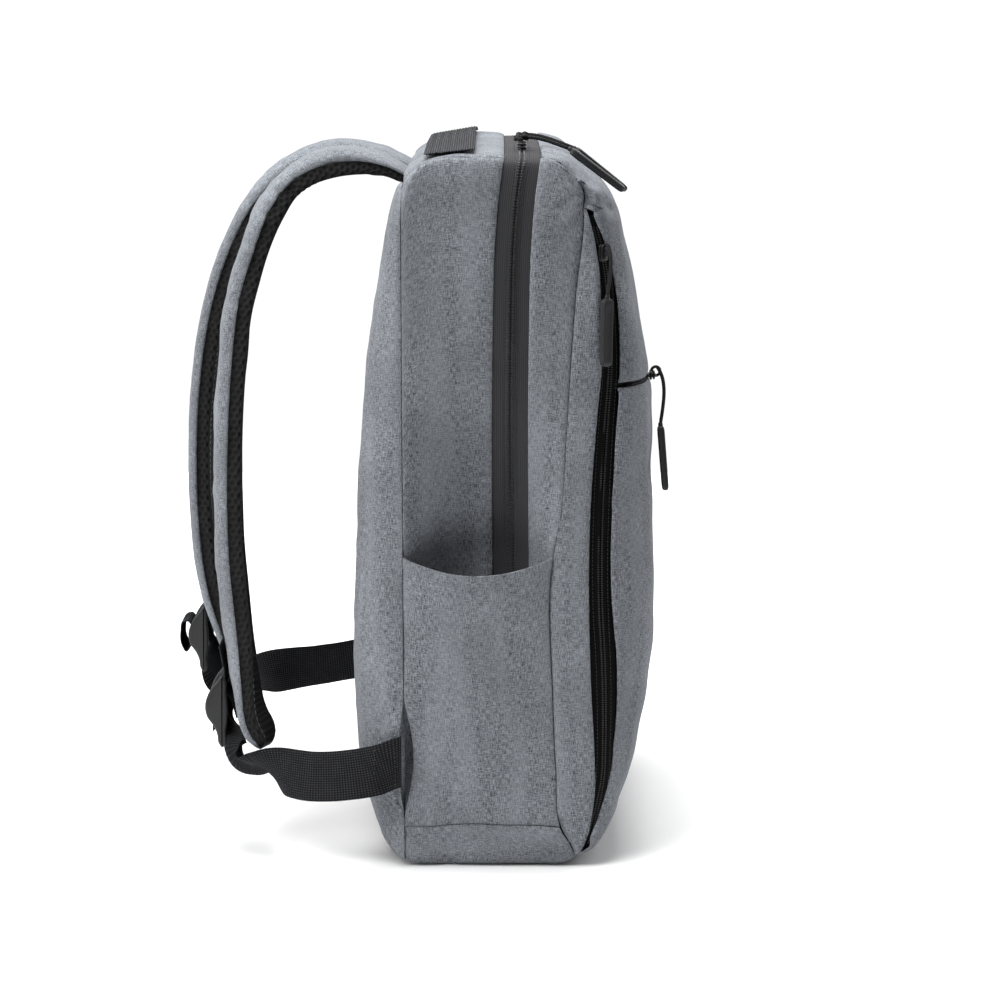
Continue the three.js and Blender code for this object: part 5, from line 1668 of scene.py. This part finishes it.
def oval(place, ahead, across, out, length, width, low, high, edge):
    """A rounded block from low to high along out."""
    turn = np.linspace(0, 2 * np.pi, 29)[:-1]
    x = np.sign(np.cos(turn)) * np.abs(np.cos(turn)) ** 0.55
    y = np.sign(np.sin(turn)) * np.abs(np.sin(turn)) ** 0.55
    rings = []
    for lift, shrink in ((low, edge), (low + edge, 0), (high - edge, 0), (high, edge)):
        ring = (
            place
            + ahead * ((length / 2 - shrink) * x)[:, None]
            + across * ((width / 2 - shrink) * y)[:, None]
            + out * lift
        )
        rings.append(ring)
    return tube(rings)


def slider_piece(name, ahead):
    """A zip slider that fills its solid's place, with a bridge for the cord."""
    low, high = (np.array(corner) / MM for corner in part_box(name + "_slider"))
    place = (low + high) / 2
    points = np.array([v.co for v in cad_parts[name + "_slider"].data.vertices]) / MM
    ahead = np.array(ahead, float) / np.linalg.norm(ahead)
    spans = points - points.mean(axis=0)
    spread = np.linalg.svd(spans - np.outer(spans @ ahead, ahead), full_matrices=False)[2]
    across = spread[0] - ahead * (spread[0] @ ahead)
    across /= np.linalg.norm(across)
    out = np.cross(ahead, across)
    if out @ (place - (0, 0, 215)) < 0:
        out = -out
    length, width, height = SLIDER
    seat = place - out * height / 2
    parts = [
        oval(seat, ahead, across, out, length - 1, 2.6, -2.7, 0.4, 0.3),
        oval(seat, ahead, across, out, length, width, 0.0, 1.3, 0.35),
        oval(seat, ahead, across, out, length - 4, width - 2.6, 1.0, 2.4, 0.3),
        oval(seat, ahead, across, out, length - 0.6, width - 0.4, 2.0, 3.1, 0.35),
    ]
    t = np.linspace(0, np.pi, 17)
    arch = seat + ahead * (-3.2 * np.cos(t))[:, None] + out * (2.9 + 1.0 * np.sin(t))[:, None]
    parts.append(cord_tube(arch * MM, 0.65, 8))
    item = solid(name + "_slider", *parts)
    finish_piece(item, finish_of("black_metal"), "black_metal", name + "_slider")


def tab_piece(name):
    """A moulded pull with rounded ends and a raised rim round its face."""
    points = np.array([v.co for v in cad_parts[name + "_tab"].data.vertices]) / MM
    centre = points.mean(axis=0)
    axes = np.linalg.svd(points - centre, full_matrices=False)[2]
    down, across, face = axes
    if down[2] > 0:
        down = -down
    length, width, thick = PULL_TAB
    u = np.concatenate([[0, 0.012, 0.035, 0.07, 0.11], np.linspace(0.15, 0.85, 13), [0.89, 0.93, 0.965, 0.988, 1]])
    round_off = np.sqrt(np.clip(1 - np.abs(2 * u - 1) ** 22, 0.06, 1))
    spans = (points - centre) @ np.stack([down, across, face]).T
    start = spans[:, 0].min()
    turn = np.linspace(0, 2 * np.pi, 73)[:-1]
    x = np.sign(np.cos(turn)) * np.abs(np.cos(turn)) ** 0.34
    y = np.sign(np.sin(turn)) * np.abs(np.sin(turn)) ** 0.34
    parting = 1 - 0.09 * np.exp(-((np.sin(turn) / 0.08) ** 2))
    x = x * parting
    rings = []
    for share, size in zip(u, round_off):
        body = size * (1 - 0.04 * share)
        inset = 0.5 * float(ease(0.12, 0.17, share) * (1 - ease(0.86, 0.91, share)))
        dish = inset * np.clip(1 - (np.abs(x) / 0.62) ** 6, 0, 1)
        ring = (
            centre
            + down * (start + share * length)
            + across * (x * width / 2 * body)[:, None]
            + face * (y * (thick / 2 * body - dish * np.abs(y)))[:, None]
        )
        rings.append(ring)
    mouth = centre + down * start
    collar = cord_tube(np.array((mouth - down * 2.0, mouth, mouth + down * 2.0)) * MM, 1.45)
    item = solid(name + "_tab", tube(rings), collar)
    finish_piece(item, finish_of("pull_rubber"), "pull_rubber", name + "_tab")
    return item


def pull(name, ahead, knotted):
    route = np.array(CORD_ROUTES[name])
    slider_piece(name, ahead)
    tab = tab_piece(name)
    cord = solid(name + "_cord", cord_tube(route, CORD_DIAMETER / MM / 2))
    finish_piece(cord, finish_of("black_cord"), "black_cord", name + "_cord")
    if not knotted:
        low, high = (np.array(corner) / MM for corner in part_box(name + "_slider"))
        start = route[0] / MM
        middle = (low + high) / 2
        reach = (start - middle) / 2
        size = np.linalg.norm(reach)
        reach = reach / size
        over = route[3] / MM - middle
        over = over - reach * (over @ reach)
        over = over / np.linalg.norm(over)
        t = np.linspace(0, 2 * np.pi, 49)[:-1, None]
        path = middle + reach * size + size * reach * np.cos(t) + 2.6 * over * np.sin(t) + 0.6 * over
        side = np.cross(reach, over)
        ring = np.linspace(0, 2 * np.pi, 11)[:-1, None]
        away = path - path.mean(axis=0)
        away = away / np.linalg.norm(away, axis=1, keepdims=True)
        rings = path[:, None] + 0.9 * (away[:, None] * np.cos(ring) + side * np.sin(ring))
        loop = solid(name + "_loop", tube(rings, closed=True))
        finish_piece(loop, finish_of("black_cord"), "black_cord")
    if knotted:
        way = route[5] - route[2]
        way = way / np.linalg.norm(way)
        knot = solid(name + "_knot", knot_tube(route[3] / MM, way, np.array((0, 0, 1.0)), 1.15))
        finish_piece(knot, finish_of("black_cord"), "black_cord")
    float(runs(route)[-1])


# The pad against the wearer's back
def back_grid(step, sink=0.0):
    z = 2.4 + spaced(409, step) * 408.4
    half = np.full(len(z), BACK_PANEL_HALF - 0.3)
    lines = np.stack([np.full(len(z), REAR_SEAM - 12.0), z], axis=1)
    points = fan(lines, np.full(len(z), 180.0), -half, half, spaced(224, step))
    return points - (0, sink, 0)


def inflate(item, cap):
    """Blows a closed pad up with the cloth solver, no further than a cap in metres."""
    remesh = item.modifiers.new("Even", "REMESH")
    remesh.mode = "VOXEL"
    remesh.voxel_size = 0.005
    replace_mesh(item)
    rest = np.empty(len(item.data.vertices) * 3)
    item.data.vertices.foreach_get("co", rest)
    cloth = item.modifiers.new("Cloth", "CLOTH")
    cloth.settings.quality = 5
    cloth.settings.use_pressure = True
    cloth.settings.uniform_pressure_force = 4.0
    cloth.settings.effector_weights.gravity = 0.0
    cloth.settings.tension_stiffness = 20.0
    cloth.settings.compression_stiffness = 20.0
    cloth.settings.bending_stiffness = 1.5
    for number in range(1, 21):
        bpy.context.scene.frame_set(number)
    replace_mesh(item)
    bpy.context.scene.frame_set(1)
    blown = np.empty(len(rest))
    item.data.vertices.foreach_get("co", blown)
    move = (blown - rest).reshape(-1, 3)
    size = np.linalg.norm(move, axis=1, keepdims=True)
    move *= cap * np.tanh(size / cap) / np.maximum(size, 1e-9)
    item.data.vertices.foreach_set("co", (rest.reshape(-1, 3) + move).ravel())
    item.data.update()


def replace_mesh(item):
    """Turns an object's modifiers into its own mesh."""
    graph = bpy.context.evaluated_depsgraph_get()
    mesh = bpy.data.meshes.new_from_object(item.evaluated_get(graph))
    item.modifiers.clear()
    old = item.data
    item.data = mesh
    bpy.data.meshes.remove(old)


def back_panel():
    face = back_grid(4.0, 3.6)
    rows, columns = face.shape[:2]
    inner = face - (0, 9.0, 0)
    rings = np.concatenate([face, inner[:, ::-1]], axis=1)
    item = solid("back_panel", tube(rings))
    inflate(item, 0.003)
    subdivide = item.modifiers.new("Smooth", "SUBSURF")
    subdivide.levels = subdivide.render_levels = 1
    replace_mesh(item)
    place = np.empty(len(item.data.vertices) * 3)
    item.data.vertices.foreach_get("co", place)
    place = place.reshape(-1, 3) / MM
    x, y, z = place.T
    outer = ease(0, 6, y - np.interp(z, face[:, columns // 2, 2], face[:, columns // 2, 1]) + 7)
    depth = 3.0 * np.exp(-((x / 8.0) ** 2)) * ease(30, 60, z) * (1 - ease(350, 390, z))
    for height in (128, 232, 330):
        bow = height - 10 * (x / BACK_PANEL_HALF) ** 2
        depth = depth + 2.6 * np.exp(-(((z - bow) / 5.0) ** 2)) * (1 - ease(78, 96, np.abs(x)))
    rim = np.minimum(BACK_PANEL_HALF - np.abs(x), np.minimum(z - 1.8, 411 - z))
    depth = depth + 1.9 * np.exp(-(((rim - 10) / 1.8) ** 2))
    place[:, 1] -= outer * np.clip(depth, 0, 3.6)
    item.data.vertices.foreach_set("co", (place * MM).ravel())
    item.data.polygons.foreach_set("use_smooth", np.ones(len(item.data.polygons), bool))
    item.data.update()
    finish_piece(item, finish_of("back_mesh"), "black_mesh", "back_panel")


# The stage
def stage():
    mesh = bpy.data.meshes.new("floor")
    work = bmesh.new()
    bmesh.ops.create_grid(work, x_segments=2, y_segments=2, size=1.3)
    work.to_mesh(mesh)
    work.free()
    floor = bpy.data.objects.new("floor", mesh)
    bpy.context.scene.collection.objects.link(floor)
    mesh.materials.append(floor_finish())

    world = bpy.data.worlds.new("Studio")
    bpy.context.scene.world = world
    world.use_nodes = True
    tree = world.node_tree
    back = tree.nodes["Background"]
    back.inputs["Strength"].default_value = bpy.context.scene.backpack_stage.room_light
    place = tree.nodes.new("ShaderNodeTexCoord")
    parts = tree.nodes.new("ShaderNodeSeparateXYZ")
    backdrop = tree.nodes.new("ShaderNodeValToRGB")
    tree.links.new(place.outputs["Generated"], parts.inputs[0])
    tree.links.new(parts.outputs["X"], backdrop.inputs["Fac"])
    tree.links.new(backdrop.outputs["Color"], back.inputs["Color"])
    for element, (reach, grey) in zip(backdrop.color_ramp.elements, ROOM_GREYS):
        element.position = reach
        element.color = (grey, grey, grey, 1)
    for name, place, energy, size in STUDIO_LIGHTS:
        light = bpy.data.lights.new(name, "AREA")
        light.shape = "DISK"
        light.energy = energy
        light.size = size
        lamp = bpy.data.objects.new(name, light)
        lamp.location = place
        aim = Vector((0, 0, 0.22)) - Vector(place)
        lamp.rotation_euler = aim.to_track_quat("-Z", "Y").to_euler()
        bpy.context.scene.collection.objects.link(lamp)

    camera = bpy.data.cameras.new("Camera")
    camera.sensor_width = 36.0
    camera.lens = bpy.context.scene.backpack_stage.lens
    camera.clip_end = 60.0
    viewer = bpy.data.objects.new("Camera", camera)
    viewer.location = CAMERA_PLACE
    viewer.rotation_euler = [math.radians(angle) for angle in CAMERA_TURN]
    bpy.context.scene.collection.objects.link(viewer)
    bpy.context.scene.camera = viewer
    bpy.context.scene.view_settings.view_transform = "Standard"


# What a user can change
def colour_property(name, description, value):
    return bpy.props.FloatVectorProperty(
        name=name, description=description, subtype="COLOR", size=3, min=0.0, max=1.0, default=value
    )


class BackpackColours(bpy.types.PropertyGroup):
    cloth: colour_property("Cloth", "Heathered cloth of the panels and pockets", (0.142, 0.152, 0.167))
    air_mesh: colour_property("Mesh", "Air mesh of the back and the straps' lining", (0.0085, 0.0085, 0.0085))
    # The handle's webbing is painted lighter than this colour, as painted light on its top.
    webbing: colour_property("Webbing", "Woven bands and handle", (0.0095, 0.0098, 0.011))
    # This colour is painted darker than the other blacks, as painted shade on the pocket and front zips; the main
    # zip's tape is painted lighter from it, as painted light.
    zip_tape: colour_property("Zip tape", "Tape along every zip", (0.0032, 0.0032, 0.0034))
    plastic: colour_property("Plastic", "Buckles and zip teeth", (0.012, 0.012, 0.013))
    rubber: colour_property("Rubber", "Moulded tabs of the zip pulls", (0.013, 0.0135, 0.0148))
    metal: colour_property("Metal", "Zip sliders", (0.02, 0.02, 0.021))
    cord: colour_property("Cord", "Cords of the zip pulls", (0.016, 0.016, 0.017))


class BackpackStage(bpy.types.PropertyGroup):
    room_light: bpy.props.FloatProperty(
        name="Room light", description="Strength of the light from all round", default=1.04, min=0.0
    )
    lens: bpy.props.FloatProperty(
        name="Lens", description="Focal length of the camera", default=98.24, min=20.0, unit="CAMERA"
    )


# Operators
class BACKPACK_OT_stage(bpy.types.Operator):
    """Sets the floor, the lights and the camera"""

    bl_idname = "backpack.stage"
    bl_label = "Stage"

    def execute(self, context):
        stage()
        return {"FINISHED"}


class BACKPACK_OT_pulls(bpy.types.Operator):
    """Makes the zips' sliders, cords and moulded tabs"""

    bl_idname = "backpack.pulls"
    bl_label = "Zip pulls"

    def execute(self, context):
        for name, ahead, knotted in PULLS:
            pull(name, ahead, knotted)
        return {"FINISHED"}


class BACKPACK_OT_side_walls(bpy.types.Operator):
    """Makes the side walls, pressed in over their pockets"""

    bl_idname = "backpack.side_walls"
    bl_label = "Side walls"

    def execute(self, context):
        side_walls()
        return {"FINISHED"}


class BACKPACK_OT_side_pockets(bpy.types.Operator):
    """Makes the open pockets on the sides, with their hems"""

    bl_idname = "backpack.side_pockets"
    bl_label = "Side pockets"

    def execute(self, context):
        side_pockets()
        return {"FINISHED"}


class BACKPACK_OT_base(bpy.types.Operator):
    """Makes the panel under the bag"""

    bl_idname = "backpack.base"
    bl_label = "Base"

    def execute(self, context):
        base_panel()
        return {"FINISHED"}


class BACKPACK_OT_back(bpy.types.Operator):
    """Makes the padded back panel and the cloth beside it"""

    bl_idname = "backpack.back"
    bl_label = "Back"

    def execute(self, context):
        gussets()
        back_panel()
        return {"FINISHED"}


class BACKPACK_OT_top(bpy.types.Operator):
    """Makes the cloth over the top"""

    bl_idname = "backpack.top"
    bl_label = "Top"

    def execute(self, context):
        top_panel()
        return {"FINISHED"}


class BACKPACK_OT_front(bpy.types.Operator):
    """Makes the front pocket's panels and the strips beside them"""

    bl_idname = "backpack.front"
    bl_label = "Front"

    def execute(self, context):
        front_panels()
        front_strips()
        return {"FINISHED"}


class BACKPACK_OT_zips(bpy.types.Operator):
    """Makes the zips' tapes and teeth"""

    bl_idname = "backpack.zips"
    bl_label = "Zips"

    def execute(self, context):
        main_zip()
        pocket_zips()
        front_zip()
        return {"FINISHED"}


class BACKPACK_OT_straps(bpy.types.Operator):
    """Makes the padded shoulder straps and their mesh lining"""

    bl_idname = "backpack.straps"
    bl_label = "Shoulder straps"

    def execute(self, context):
        for name, side in SIDES:
            shoulder_strap(name, side)
        return {"FINISHED"}


class BACKPACK_OT_webbing(bpy.types.Operator):
    """Makes the wings in the rear seams, the lower webbing and the buckles' anchors"""

    bl_idname = "backpack.webbing"
    bl_label = "Webbing"

    def execute(self, context):
        for name, side in SIDES:
            strap_wing(name, side)
            lower_webbing(name, side)
            buckle_anchor(name, side)
        return {"FINISHED"}


class BACKPACK_OT_buckles(bpy.types.Operator):
    """Makes the buckles that tighten the straps"""

    bl_idname = "backpack.buckles"
    bl_label = "Buckles"

    def execute(self, context):
        for name, side in SIDES:
            buckle(name, side)
        return {"FINISHED"}


class BACKPACK_OT_handle(bpy.types.Operator):
    """Makes the carrying handle over the top"""

    bl_idname = "backpack.handle"
    bl_label = "Handle"

    def execute(self, context):
        top_handle()
        return {"FINISHED"}


OPERATORS = (
    BACKPACK_OT_stage,
    BACKPACK_OT_pulls,
    BACKPACK_OT_side_walls,
    BACKPACK_OT_side_pockets,
    BACKPACK_OT_base,
    BACKPACK_OT_back,
    BACKPACK_OT_top,
    BACKPACK_OT_front,
    BACKPACK_OT_zips,
    BACKPACK_OT_straps,
    BACKPACK_OT_webbing,
    BACKPACK_OT_buckles,
    BACKPACK_OT_handle,
)


class BACKPACK_PT_panel(bpy.types.Panel):
    """Lists the colours and pieces of the backpack"""

    bl_idname = "BACKPACK_PT_panel"
    bl_label = "Backpack"
    bl_space_type = "VIEW_3D"
    bl_region_type = "UI"
    bl_category = "Backpack"

    def draw(self, context):
        for group in (context.scene.backpack_colours, context.scene.backpack_stage):
            box = self.layout.box()
            for key in group.bl_rna.properties.keys():
                if key not in ("name", "rna_type"):
                    box.prop(group, key)
        for operator in OPERATORS:
            self.layout.operator(operator.bl_idname)


CLASSES = (BackpackColours, BackpackStage, *OPERATORS, BACKPACK_PT_panel)


def register():
    for kind in CLASSES:
        bpy.utils.register_class(kind)
    bpy.types.Scene.backpack_colours = bpy.props.PointerProperty(type=BackpackColours)
    bpy.types.Scene.backpack_stage = bpy.props.PointerProperty(type=BackpackStage)


def unregister():
    del bpy.types.Scene.backpack_stage
    del bpy.types.Scene.backpack_colours
    for kind in reversed(CLASSES):
        bpy.utils.unregister_class(kind)


def main():
    register()
    for operator in OPERATORS:
        group, name = operator.bl_idname.split(".")
        getattr(getattr(bpy.ops, group), name)()


if __name__ == "__main__":
    main()
